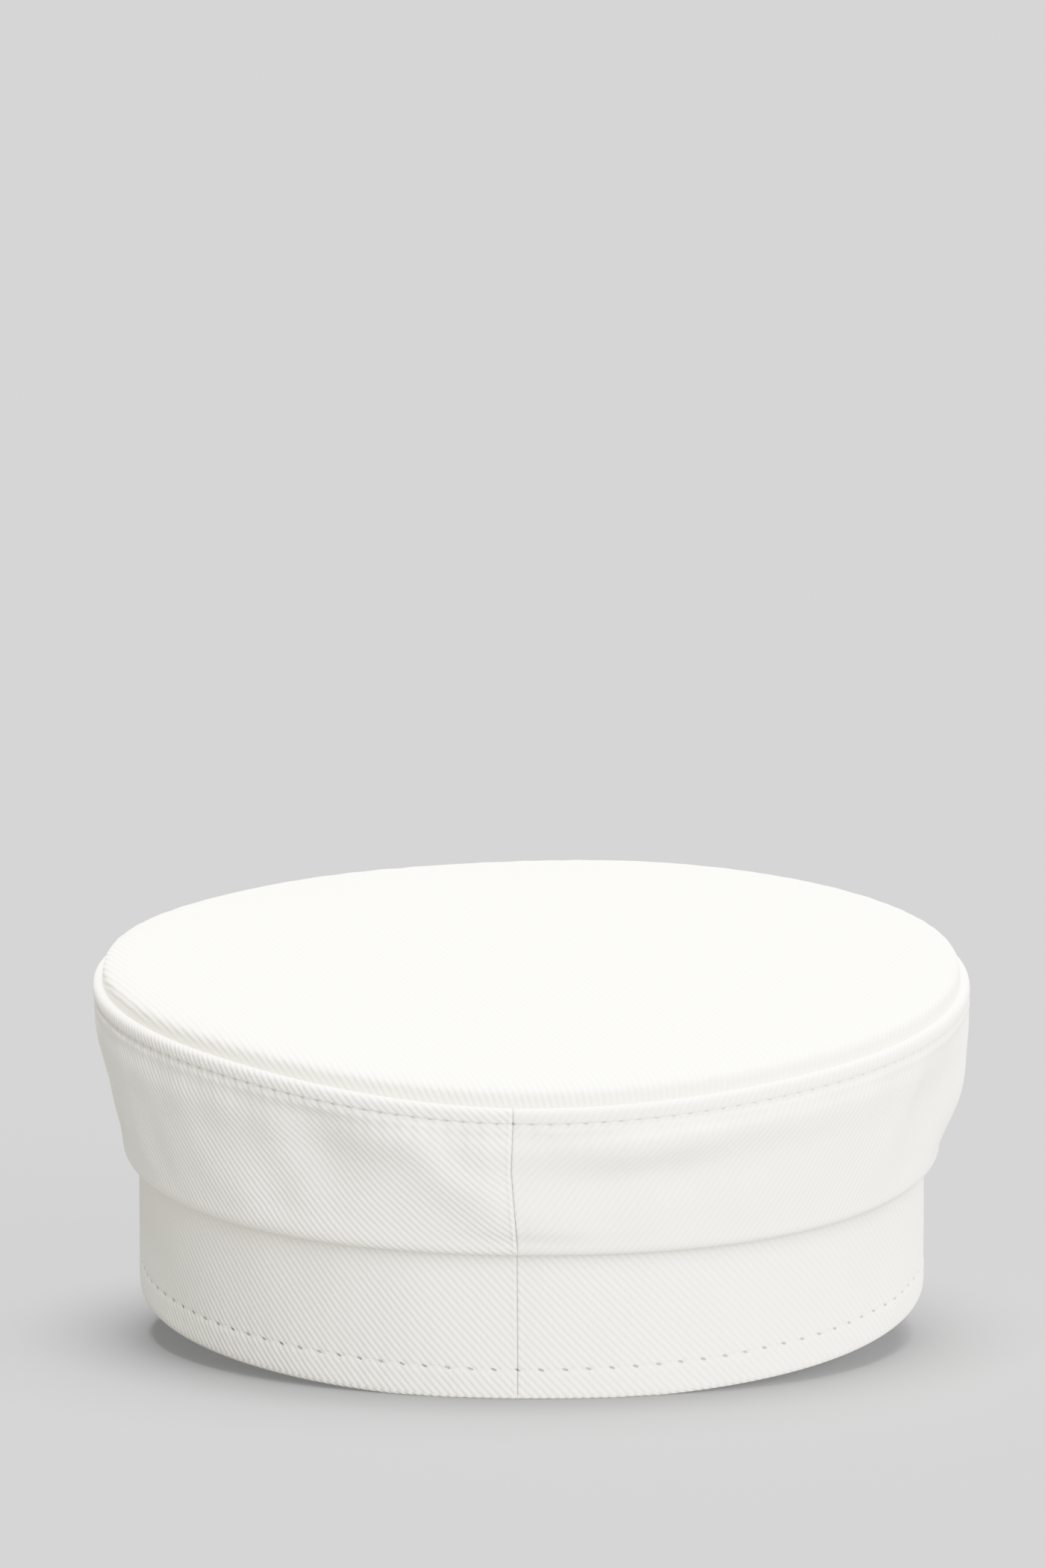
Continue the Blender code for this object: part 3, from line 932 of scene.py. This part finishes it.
@dataclass(frozen=True)
class SidePanel:
    """The side of the crown: a leaning strip with a sagging lower fold, dents and a rolled lip."""

    form: CapForm
    stance: Stance
    columns: int = 960
    tuck_steps: int = 8
    face_steps: int = 44
    lip_steps: int = 20
    inner_steps: int = 8
    girth: float = 0.620
    cut_width: float = 0.050
    sector: float = radians(89.0)
    warp: float = radians(51.5)
    stitches: int = 163
    pucker: float = 0.00012
    pucker_reach: float = 0.0035
    crease_depth: float = 0.00022
    crease_width: float = 0.00045
    # Shade painted in the crease under the topstitch and on the turned-under edge of the lower fold.
    crease_shade: float = 0.12
    fold_shade: float = 0.70
    fold_shade_width: float = 0.0013
    ridge: float = 0.00040
    ridge_below: float = 0.0015
    ridge_width: float = 0.0012
    # The fuller cloth under the topstitch, to the right of the back seam.
    swell: float = 0.0009
    swell_below: float = 0.0045
    swell_tall: float = 0.0035
    swell_right: float = 0.060
    swell_wide: float = 0.050
    seam: BackSeam = BackSeam()
    ripples: Ripples = Ripples(seed=5, depth=0.00016, fewest_round=11, most_round=46, most_up=1.3)
    # The seam's sway to the right, at shares of the way up the panel.
    sway: tuple[tuple[float, float], ...] = ((0.0, 0.0002), (0.35, -0.0004), (0.62, -0.0010), (1.0, -0.0006))
    # The lip's outline from the topstitch over its top and down inside: shares of its width in from its outer
    # edge, and of its height down from its top.
    lip: tuple[tuple[float, float], ...] = (
        (0.15, 1.00),
        (0.03, 0.88),
        (0.00, 0.68),
        (0.02, 0.42),
        (0.10, 0.20),
        (0.27, 0.05),
        (0.50, 0.00),
        (0.74, 0.05),
        (0.93, 0.22),
        (1.00, 0.46),
        (1.00, 0.80),
    )

    def shares(self) -> Array:
        """Shares of the way up the face, closer together at the fold and under the lip."""
        return spread(self.face_steps, 1.0, ((0.0, 0.08, 1.5), (1.0, 0.10, 3.0)))

    def lip_curve(self) -> Array:
        """The lip's outline as a smooth curve through its table."""
        marks = np.array(self.lip)
        at = np.linspace(0.0, len(marks) - 1.0, self.lip_steps + 1)
        row = np.minimum(at.astype(int), len(marks) - 2)
        share = (at - row)[:, None]
        slopes = np.gradient(marks, axis=0)
        square, cube = share**2, share**3
        return (
            (2 * cube - 3 * square + 1) * marks[row]
            + (cube - 2 * square + share) * slopes[row]
            + (3 * square - 2 * cube) * marks[row + 1]
            + (cube - square) * slopes[row + 1]
        )

    def swayed(self, turn: Array, share: Array) -> Array:
        """Angles of the columns, shifted near the seam by its sway at each share of the height."""
        heights, shifts = np.array(self.sway).T
        shift = np.interp(share, heights, shifts)
        near = bell(right_of_seam(turn, self.girth), self.seam.reach)
        return turn_angle(turn) + shift * near * tau / self.girth

    def rows(self, turn: Array) -> tuple[Array, Array]:
        """The panel's closed outline at every turn, without its finest detail.

        Args:
            turn: The columns' turns.

        Returns:
            The points as rows and columns, and each row's share of the way up the face.
        """
        form = self.form
        low_angle = self.swayed(turn, np.zeros((1, 1)))
        top_angle = self.swayed(turn, np.ones((1, 1)))
        seam_height = form.band_height + form.seam_gap
        seam = form.band_point(low_angle, -form.band_wall, seam_height)
        turned = (np.arange(self.tuck_steps) / self.tuck_steps)[:, None]
        out = mix(form.seam_gap, form.fold_out(low_angle), (1.0 - np.cos(pi * turned)) / 2.0)
        low = form.fold_low(low_angle)
        rise = mix(seam_height - low, form.fold_roll, turned)
        tuck = form.band_point(low_angle, out, low + rise * (1.0 - np.sin(pi * turned)))
        shares = self.shares()[:, None]
        face = form.panel_point(self.swayed(turn, shares), np.broadcast_to(shares, (len(shares), len(turn))))
        inward, down = self.lip_curve()[1:, :, None].transpose(1, 0, 2)
        top = form.lip_top(top_angle)
        lip = form.crown_point(top_angle, -form.lip_width * inward, top - form.lip_height * down)
        allowance_low = top - form.groove_depth - 2.0 * form.cloth_wall
        allowance = form.crown_point(top_angle, -form.lip_width, allowance_low)
        inner_shares = (np.arange(self.inner_steps, 0, -1) - 0.5)[:, None] / self.inner_steps
        inner_shares = np.broadcast_to(inner_shares, (self.inner_steps, len(turn)))
        inner = form.panel_point(turn_angle(turn), inner_shares, inset=form.cloth_wall)
        inner[..., 2] = np.minimum(inner[..., 2], allowance_low - form.cloth_wall / 2.0)
        points = np.concatenate([seam, tuck, face, lip, allowance, inner])
        share = np.concatenate([np.zeros(1 + self.tuck_steps), self.shares(), np.ones(len(points))])
        return points, share[: len(points), None]

    def build(self) -> bpy.types.Object:
        """Makes the side panel.

        Returns:
            The piece, dressed and handed over.
        """
        turns = turns_round(self.columns, self.girth, self.seam)
        turn = turns[:-1]
        points, share = self.rows(turn)
        crease_row = self.tuck_steps + self.face_steps + 1
        rise = walked(points)
        over_stitch = rise - rise[crease_row]
        right = right_of_seam(turn, self.girth)
        shown = (np.arange(len(points)) >= self.tuck_steps)[:, None] & (
            np.arange(len(points)) <= crease_row + self.lip_steps
        )[:, None]
        below = over_stitch <= 0.0
        soft = self.ripples.depth_at(turn, share) * ease(share / 0.2) * ease((1.0 - share) / 0.12)
        wave = np.cos(tau * self.stitches * turn) * self.pucker
        pucker = -wave * np.exp(-np.abs(over_stitch) / self.pucker_reach) * np.where(below, 1.0, 0.5)
        crease = bell(over_stitch, self.crease_width)
        ridge = self.ridge * bell(over_stitch + self.ridge_below, self.ridge_width)
        fuller = self.swell * bell(right - self.swell_right, self.swell_wide)
        ridge = ridge + fuller * bell(over_stitch + self.swell_below, self.swell_tall)
        detail = soft + pucker + ridge - crease * self.crease_depth + self.seam.relief(right, rise)
        normals = surface_normals(points, looped_rows=True)
        points = points + normals * (detail * shown)[..., None]
        # Painted shade on the lower fold's turned-under edge, in the topstitch crease and in the back seam.
        under_fold = bell(rise - rise[self.tuck_steps - 2], self.fold_shade_width) * self.fold_shade
        painted_shade = np.maximum(crease * self.crease_shade, self.seam.crease(right)) * shown
        painted_shade = np.maximum(painted_shade, under_fold * gap_shade(turn_angle(turn)))
        grid = ClothGrid(
            points=self.stance.settle(points),
            grain=self.grain(turns, rise, points),
            looped_rows=True,
            sewing=self.sewing(turns, over_stitch),
            crease=painted_shade,
        )
        piece = grid.make("side_panel_cloth")
        holes = NeedleHoles(self.girth / self.stitches, long=0.0013, wide=0.00045, darkness=0.45)
        cloth, groove = (0.930, 0.910, 0.750), (0.660, 0.640, 0.514)
        Twill("side_panel_twill", cloth, groove, yarn=0.000450, pick=0.000474, holes=holes).dress(piece)
        hand_over(piece, ("side_panel",))
        line = SewnLine(turn, points[crease_row], normals[crease_row])
        StitchRow("lip_stitches", self.stitches, lift=0.00001).sew(line, self.stance, Slot.PANEL)
        return piece

    def grain(self, turns: Array, rise: Array, points: Array) -> Array:
        """Where each corner lay on the flat, arc-cut strip, measured across and along its warp yarns.

        Args:
            turns: The columns' turns, from 0 to 1.
            rise: How far each point lies along the outline.
            points: The panel's points.

        Returns:
            The coordinates, with a row and a column more than the points.
        """
        closing = np.linalg.norm(points[0] - points[-1], axis=-1)
        rise = np.concatenate([rise, rise[-1:] + closing])
        rise = np.concatenate([rise, rise[:, :1]], axis=1) - rise[self.tuck_steps + 1].mean()
        radius = self.form.head_width * pi / self.sector + rise
        swing = self.sector * (turns - 0.5)
        x, y = radius * np.sin(swing), radius * np.cos(swing)
        return along_yarns(x, y, self.warp)

    def sewing(self, turns: Array, over_stitch: Array) -> Array:
        """How many stitches round each corner lies, and how far over the topstitch.

        Args:
            turns: The columns' turns, from 0 to 1.
            over_stitch: How far each point lies over the topstitch.

        Returns:
            The coordinates, with a row and a column more than the points.
        """
        over = np.concatenate([over_stitch, over_stitch[-1:] + 1.0])
        over = np.concatenate([over, over[:, :1]], axis=1)
        return np.stack([np.broadcast_to(turns * self.stitches, over.shape), over], axis=-1)


@dataclass(frozen=True)
class Band:
    """The straight band round the head, folded at its lower edge and topstitched above it."""

    form: CapForm
    stance: Stance
    wall: float = 0.0022
    hem_wall: float = 0.0030
    columns: int = 860
    face_steps: int = 44
    edge_steps: int = 6
    girth: float = 0.5815
    stitch_height: float = 0.0073
    stitches: int = 108
    groove_depth: float = 0.00012
    groove_width: float = 0.00040
    # Shade painted in the topstitch's groove and on the band under the panel's fold, and how far down the
    # latter reaches.
    groove_shade: float = 0.12
    gap_shade: float = 1.00
    gap_reach: float = 0.0030
    hem_puff: float = 0.00015
    pucker: float = 0.00005
    pucker_reach: float = 0.0025
    seam: BackSeam = BackSeam(depth=0.00028, left_roll=0.00006, dip=0.00005)
    ripples: Ripples = Ripples(seed=11, depth=0.00012, fewest_round=7, most_round=30, most_up=0.8)

    def outline(self) -> tuple[Array, Array]:
        """The band's closed outline.

        Returns:
            How far out from the outer face each row lies, and its height: up outside, and down inside.
        """
        form, soft = self.form, self.wall / 2.0
        up = soft + spread(
            self.face_steps,
            form.band_height - soft,
            ((self.stitch_height - soft, 0.0012, 4.0), (0.0, 0.0015, 1.0)),
        )
        hem_top = self.stitch_height + 0.0020
        down = np.array([form.band_height, 0.75 * form.band_height, 0.5 * form.band_height, hem_top + 0.0004])
        down = np.concatenate([down, [hem_top, self.stitch_height, self.stitch_height / 2.0, soft]])
        inner = np.where(down > hem_top, -self.wall, -self.hem_wall)
        inner[-1] = -self.wall
        roll = pi * np.arange(1, self.edge_steps) / self.edge_steps
        edge_out = -soft + soft * -np.cos(roll)
        edge_height = soft * (1.0 - np.sin(roll))
        out = np.concatenate([np.zeros(len(up)), inner, edge_out])
        return out[:, None], np.concatenate([up, down, edge_height])[:, None]

    def build(self) -> bpy.types.Object:
        """Makes the band.

        Returns:
            The piece, dressed and handed over.
        """
        turns = turns_round(self.columns, self.girth, self.seam)
        turn = turns[:-1]
        out, height = self.outline()
        points = self.form.band_point(turn_angle(turn)[None, :], out, height)
        row = np.arange(len(points))[:, None]
        outside = (row <= self.face_steps) * ease((row + 1.0) / 3.0)
        rise = walked(points)
        right = right_of_seam(turn, self.girth)
        over = height - self.stitch_height
        soft = self.ripples.depth_at(turn, height / self.form.band_height)
        wave = -np.cos(tau * self.stitches * turn) * self.pucker * np.exp(-np.abs(over) / self.pucker_reach)
        crease = bell(over, self.groove_width)
        # Painted shadow on the band under the panel's fold.
        under_fold = np.maximum(self.form.fold_low(turn_angle(turn)) - height, 0.0)
        painted_fold_shadow = self.gap_shade * gap_shade(turn_angle(turn)) * bell(under_fold, self.gap_reach)
        detail = wave - crease * self.groove_depth + self.hem_puff * ease(-over / 0.0015)
        detail = (detail + self.seam.relief(right, height)) * outside + soft * ease(height / 0.006)
        normals = surface_normals(points, looped_rows=True)
        points = points + normals * detail[..., None] * (row <= self.face_steps)[..., None]
        grid = ClothGrid(
            points=self.stance.settle(points),
            grain=self.grain(turns, rise),
            looped_rows=True,
            sewing=self.sewing(turns, over, outside),
            crease=np.maximum(np.maximum(crease * self.groove_shade, self.seam.crease(right)), painted_fold_shadow) * outside,
        )
        piece = grid.make("band_cloth")
        Twill("head_band_twill", holes=NeedleHoles(self.girth / self.stitches)).dress(piece)
        hand_over(piece, ("band",))
        stitch_row = int(np.argmin(np.abs(height[: self.face_steps, 0] - self.stitch_height)))
        line = SewnLine(turn, points[stitch_row], normals[stitch_row])
        StitchRow("band_stitches", self.stitches, share=0.84).sew(line, self.stance, Slot.BAND)
        return piece

    def grain(self, turns: Array, rise: Array) -> Array:
        """Where each corner lay on the flat strip, measured across and along its warp yarns."""
        rise = np.concatenate([rise, rise[-1:] + self.wall / 4.0])
        rise = np.concatenate([rise, rise[:, :1]], axis=1)
        return np.stack([np.broadcast_to(turns * self.girth, rise.shape), rise], axis=-1)

    def sewing(self, turns: Array, over: Array, outside: Array) -> Array:
        """How many stitches round each corner lies, and how far over the topstitch on the outer face."""
        away = np.where(outside > 0.0, over, 1.0)
        away = np.broadcast_to(np.concatenate([away, away[-1:]]), (len(away) + 1, len(turns)))
        return np.stack([np.broadcast_to(turns * self.stitches, away.shape), away], axis=-1)


@dataclass(frozen=True)
class Tip:
    """The round top of the crown, set inside the rolled lip."""

    form: CapForm
    stance: Stance
    columns: int = 480
    top_steps: int = 84
    under_steps: int = 14
    under_end: float = 0.965
    # Where the rows of the upper face crowd together: how far in from the seam, over what reach, how much.
    crowding: tuple[tuple[float, float, float], ...] = (
        (0.0, 0.0007, 12.0),
        (0.0, 0.004, 6.0),
        (0.008, 0.010, 3.0),
    )
    tuck: float = 0.0012
    warp: float = radians(67.0)
    gather_reach: float = 0.0060
    # Shade painted on the cloth where it goes down into the seam, and its width.
    seam_shade: float = 0.05
    seam_width: float = 0.0005
    gathers: Ripples = Ripples(seed=3, depth=0.00005, fewest_round=46, most_round=110, most_up=0.4)
    swells: Ripples = Ripples(seed=8, depth=0.00020, fewest_round=3, most_round=9, most_up=0.8)

    def build(self) -> bpy.types.Object:
        """Makes the tip.

        Returns:
            The piece, dressed and handed over.
        """
        form = self.form
        turn = np.arange(self.columns) / self.columns
        angle = turn_angle(turn)[None, :]
        radius = form.crown_width / 2.0
        inward = spread(self.top_steps, radius, self.crowding)[:, None]
        reach = np.clip(1.0 - inward / radius, 0.0, 1.0)
        top = form.tip_point(angle, np.broadcast_to(reach, (len(reach), self.columns)))
        near = np.exp(-inward / self.gather_reach) * ease(inward / 0.0010)
        swells = self.swells.depth_at(turn, reach) * reach
        detail = self.gathers.depth_at(turn, reach) * near + swells * (1.0 - near)
        top[..., 2] += detail
        rim = top[:1] - np.array([0.0, 0.0, self.tuck])
        under_reach = np.linspace(0.0, self.under_end, self.under_steps)[:, None]
        under = form.tip_point(angle, np.broadcast_to(under_reach, (self.under_steps, self.columns)))
        under[..., 2] -= form.cloth_wall
        points = np.concatenate([under, rim, top])
        grid = ClothGrid(
            points=self.stance.settle(points),
            grain=self.grain(points, top),
            looped_rows=False,
            crease=self.shade(points, inward),
        )
        piece = grid.make("tip_cloth")
        Twill("crown_tip_twill", cloth=(0.872, 0.858, 0.655), groove=(0.718, 0.700, 0.522)).dress(piece)
        hand_over(piece, ("tip",))
        return piece

    def shade(self, points: Array, inward: Array) -> Array:
        """How much shade is painted on the cloth where it goes down into the seam."""
        shade = np.zeros(points.shape[:2])
        shade[-len(inward) :] = self.seam_shade * bell(inward, self.seam_width)
        return shade

    def grain(self, points: Array, top: Array) -> Array:
        """Where each corner lay on the flat round, measured across and along its warp yarns.

        Args:
            points: All of the tip's points.
            top: Those of its upper face, from the seam to the middle.

        Returns:
            The coordinates, with a column more than the points.
        """
        middle = np.array([0.0, self.form.crown_forward])
        away = points[..., :2] - middle
        flat = np.linalg.norm(away, axis=-1)
        along = walked(top)
        reach = along[-1] - along
        length = np.concatenate([flat[: -len(top)], reach])
        heading = np.arctan2(away[..., 1], away[..., 0])
        x, y = length * np.cos(heading), length * np.sin(heading)
        grain = along_yarns(x, y, self.warp)
        return np.concatenate([grain, grain[:, :1]], axis=1)


@dataclass(frozen=True)
class Peak:
    """The stiff cloth-covered peak along the front of the band."""

    form: CapForm
    stance: Stance
    spread: float = radians(62.0)
    square: float = 0.85
    hinge: float = 0.85
    end_length: float = 0.0016
    wall: float = 0.0030
    end_wall: float = 0.0018
    edge: float = 0.0010
    columns: int = 260
    steps: int = 40
    edge_steps: int = 8
    stitch_in: float = 0.0055
    stitches: int = 66
    groove_depth: float = 0.00025
    groove_width: float = 0.00050
    ripples: Ripples = Ripples(seed=21, depth=0.00010, fewest_round=2, most_round=9, most_up=0.8)

    def build(self) -> bpy.types.Object:
        """Makes the peak.

        Returns:
            The piece, dressed and handed over.
        """
        form = self.form
        turns = np.linspace(0.0, 1.0, self.columns)
        angle = pi / 2.0 + self.spread * (2.0 * turns - 1.0)
        end = cos(self.spread)
        fullness = np.maximum((np.sin(angle) - end) / (1.0 - end), 0.0) ** self.square
        length = mix(self.end_length, form.peak_length, fullness)
        wall = mix(self.end_wall, self.wall, ease(fullness * 2.0))
        share = spread(self.steps, 1.0, ((1.0, 0.10, 2.0),))[:, None]
        upper = self.sheet(angle, length, share, wall)
        under = self.sheet(angle, length, share[::-1], 0.0)
        roll = (pi * np.arange(1, self.edge_steps) / self.edge_steps)[:, None]
        edge_out = form.seam_gap + length * cos(form.peak_slope) + self.edge * np.sin(roll)
        edge_height = wall / 2.0 * (1.0 + np.cos(roll)) - length * sin(form.peak_slope)
        edge = form.band_point(angle, edge_out, edge_height)
        points = np.concatenate([upper, edge, under])
        rise = walked(points)
        from_edge = rise - rise[self.steps]
        row = np.arange(len(points))[:, None]
        shown = row <= self.steps
        over = from_edge + self.stitch_in
        mark = bell(over, self.groove_width) * shown * ease(length / self.stitch_in - 1.0)
        points = points + self.normals(points) * (
            self.ripples.depth_at(turns, share.max() * row / len(points)) * shown * ease(fullness * 3.0)
            - mark * self.groove_depth
        )[..., None]
        normals = self.normals(points)
        piece = self.close(self.stance.settle(points), rise, turns, over, mark)
        Twill("peak_twill_cloth", holes=NeedleHoles(0.0036)).dress(piece)
        hand_over(piece, ("peak",))
        self.sew(points, normals, turns, over)
        return piece

    def sheet(self, angle: Array, length: Array, share: Array, wall: Any) -> Array:
        """The peak's upper face, or its under face where wall is 0, at shares of the way out."""
        form = self.form
        bend = mix(self.hinge, 1.0, ease(share * 2.0))
        height = wall - length * share * sin(form.peak_slope) * bend
        return form.band_point(angle, form.seam_gap + length * share * cos(form.peak_slope), height)

    def normals(self, points: Array) -> Array:
        """Outward normals of the peak's open grid."""
        right = np.gradient(points, axis=1)
        down = np.roll(points, -1, axis=0) - np.roll(points, 1, axis=0)
        return unit(np.cross(down, right))

    def close(self, points: Array, rise: Array, turns: Array, over: Array, mark: Array) -> bpy.types.Object:
        """Makes the mesh of the peak, with its two ends closed.

        Args:
            points: The settled points, as rows round the outline and columns along the band.
            rise: How far each point lies along the outline.
            turns: The columns' shares of the way along.
            over: How far each point lies past the topstitch.
            mark: Where the topstitch's groove is, which sets the shade painted in it.

        Returns:
            The piece.
        """
        rows, columns = points.shape[:2]
        down, across = np.meshgrid(np.arange(rows), np.arange(columns - 1), indexing="ij")
        corner_rows = np.stack([down, down + 1, down + 1, down], axis=-1).reshape(-1, 4)
        corner_columns = np.stack([across, across, across + 1, across + 1], axis=-1).reshape(-1, 4)
        faces = ((corner_rows % rows) * columns + corner_columns).tolist()
        faces.append([row * columns for row in range(rows)][::-1])
        faces.append([row * columns + columns - 1 for row in range(rows)])
        mesh = bpy.data.meshes.new("peak_cloth")
        mesh.from_pydata(points.reshape(-1, 3).tolist(), [], faces)
        closing = np.concatenate([rise, rise[-1:] + self.wall])
        along = (turns - 0.5) * self.form.head_width * self.spread
        grain = np.stack([np.broadcast_to(along, closing.shape), -closing], axis=-1)
        count = np.broadcast_to(turns * self.stitches, closing.shape)
        off = np.concatenate([over, np.ones((1, columns))])
        off[self.steps + 1 :] = 1.0
        sewing = np.stack([count, off], axis=-1)
        ends = np.zeros((2 * rows, 2))
        for title, measure in ((GRAIN_MAP, grain), (SEWING_MAP, sewing)):
            corners = np.concatenate([measure[corner_rows, corner_columns].reshape(-1, 2), ends])
            mesh.uv_layers.new(name=title).data.foreach_set("uv", corners.ravel())
        # The topstitch's groove gets painted shade.
        attribute = mesh.attributes.new(PAINTED_SHADE_MARK, "FLOAT", "POINT")
        attribute.data.foreach_set("value", (0.3 * mark).astype(np.float32).ravel())
        return finish_piece("peak_cloth", mesh)

    def sew(self, points: Array, normals: Array, turns: Array, over: Array) -> None:
        """Sews the topstitch along the peak's outer edge."""
        rows = np.argmin(np.abs(over[: self.steps + 1]), axis=0)
        columns = np.arange(len(turns))
        keep = (rows > 2) & (np.abs(over[rows, columns]) < 0.002)
        line = SewnLine(turns[keep], points[rows, columns][keep], normals[rows, columns][keep], closed=False)
        StitchRow("peak_stitches", self.stitches).sew(line, self.stance, Slot.PEAK)


@dataclass(frozen=True)
class SoftSun:
    """A distant soft light. Its bearing runs from behind the camera towards the right."""

    name: str
    bearing: float
    elevation: float
    strength: float
    softness: float
    colour: Colour = (1.0, 1.0, 1.0)

    def hang(self) -> None:
        """Adds the light to the scene."""
        light = bpy.data.lights.new(self.name, "SUN")
        light.energy = self.strength
        light.angle = radians(self.softness)
        light.color = self.colour
        lamp = bpy.data.objects.new(self.name, light)
        bearing, elevation = radians(self.bearing), radians(self.elevation)
        source = Vector((sin(bearing) * cos(elevation), -cos(bearing) * cos(elevation), sin(elevation)))
        lamp.rotation_euler = source.to_track_quat("Z", "Y").to_euler()
        lamp.location = source
        bpy.context.scene.collection.objects.link(lamp)


@dataclass(frozen=True)
class Studio:
    """The plain floor, the soft light and the camera."""

    floor_size: float = 60.0
    floor_gap: float = 0.0001
    sky: Colour = (1.0, 1.0, 1.0)
    sky_strength: float = 0.42
    # The strengths were fitted to the photo's brightness over the cap and the floor.
    suns: tuple[SoftSun, ...] = (
        SoftSun("side_light", bearing=45.0, elevation=8.0, strength=23.2, softness=50.0),
        SoftSun("fill_light", bearing=30.0, elevation=20.0, strength=9.7, softness=80.0),
        SoftSun("top_light", bearing=0.0, elevation=88.0, strength=27.6, softness=30.0),
        SoftSun("back_light", bearing=150.0, elevation=72.0, strength=20.4, softness=40.0),
    )
    paper: Paper = Paper()
    picture: tuple[int, int] = (1400, 2100)
    sensor: float = 36.0
    pixel: float = 0.1709e-3
    distance: float = 2.0
    elevation: float = radians(8.15)
    yaw: float = radians(1.8)
    target_pixel: tuple[float, float] = (712.5, 1516.5)
    target_behind_band: float = 0.0955
    target_height: float = 0.0450

    def build(self, band_back: float) -> None:
        """Adds the floor, the lights and the camera.

        Args:
            band_back: Where the back of the band meets the floor, along Y.
        """
        bpy.ops.mesh.primitive_plane_add(size=self.floor_size, location=(0.0, 0.0, -self.floor_gap))
        floor = bpy.context.object
        floor.name = "studio_floor"
        self.paper.dress(floor)
        world = bpy.data.worlds.new("studio_light")
        world.use_nodes = True
        background = world.node_tree.nodes["Background"]
        background.inputs["Color"].default_value = (*self.sky, 1.0)
        background.inputs["Strength"].default_value = self.sky_strength
        bpy.context.scene.world = world
        for sun in self.suns:
            sun.hang()
        self.set_camera(Vector((0.0, band_back + self.target_behind_band, self.target_height)))
        log.info("studio: floor, %d soft light(s), camera", len(self.suns))

    def set_camera(self, target: Vector) -> None:
        """Places the camera so that the target shows at its pixel of the picture.

        Args:
            target: The point that the picture's framing was measured at.
        """
        focal = self.distance / self.pixel
        aside = self.target_pixel[0] - self.picture[0] / 2.0
        below = self.target_pixel[1] - self.picture[1] / 2.0
        swing = Matrix.Rotation(self.yaw, 3, "Z")
        ray = swing @ Vector((0.0, cos(self.elevation), -sin(self.elevation)))
        right = swing @ Vector((1.0, 0.0, 0.0))
        pitch = self.elevation - atan2(below, focal)
        data = bpy.data.cameras.new("camera")
        data.sensor_fit = "VERTICAL"
        data.sensor_height = self.sensor
        data.lens = self.sensor * focal / self.picture[1]
        camera = bpy.data.objects.new("camera", data)
        camera.location = target - ray * self.distance - right * (aside / focal * self.distance)
        camera.rotation_euler = (pi / 2.0 - pitch, 0.0, self.yaw)
        bpy.context.scene.collection.objects.link(camera)
        bpy.context.scene.camera = camera


def main() -> None:
    """Builds the cap's pieces and the studio in order."""
    logging.basicConfig(level=logging.INFO, format="%(message)s")
    form = CapForm()
    stance = Stance(form)
    Tip(form, stance).build()
    SidePanel(form, stance).build()
    Band(form, stance).build()
    Peak(form, stance).build()
    Studio().build(float(stance.settle(form.band_point(-pi / 2.0, 0.0, 0.0))[1]))


if __name__ == "__main__":
    main()
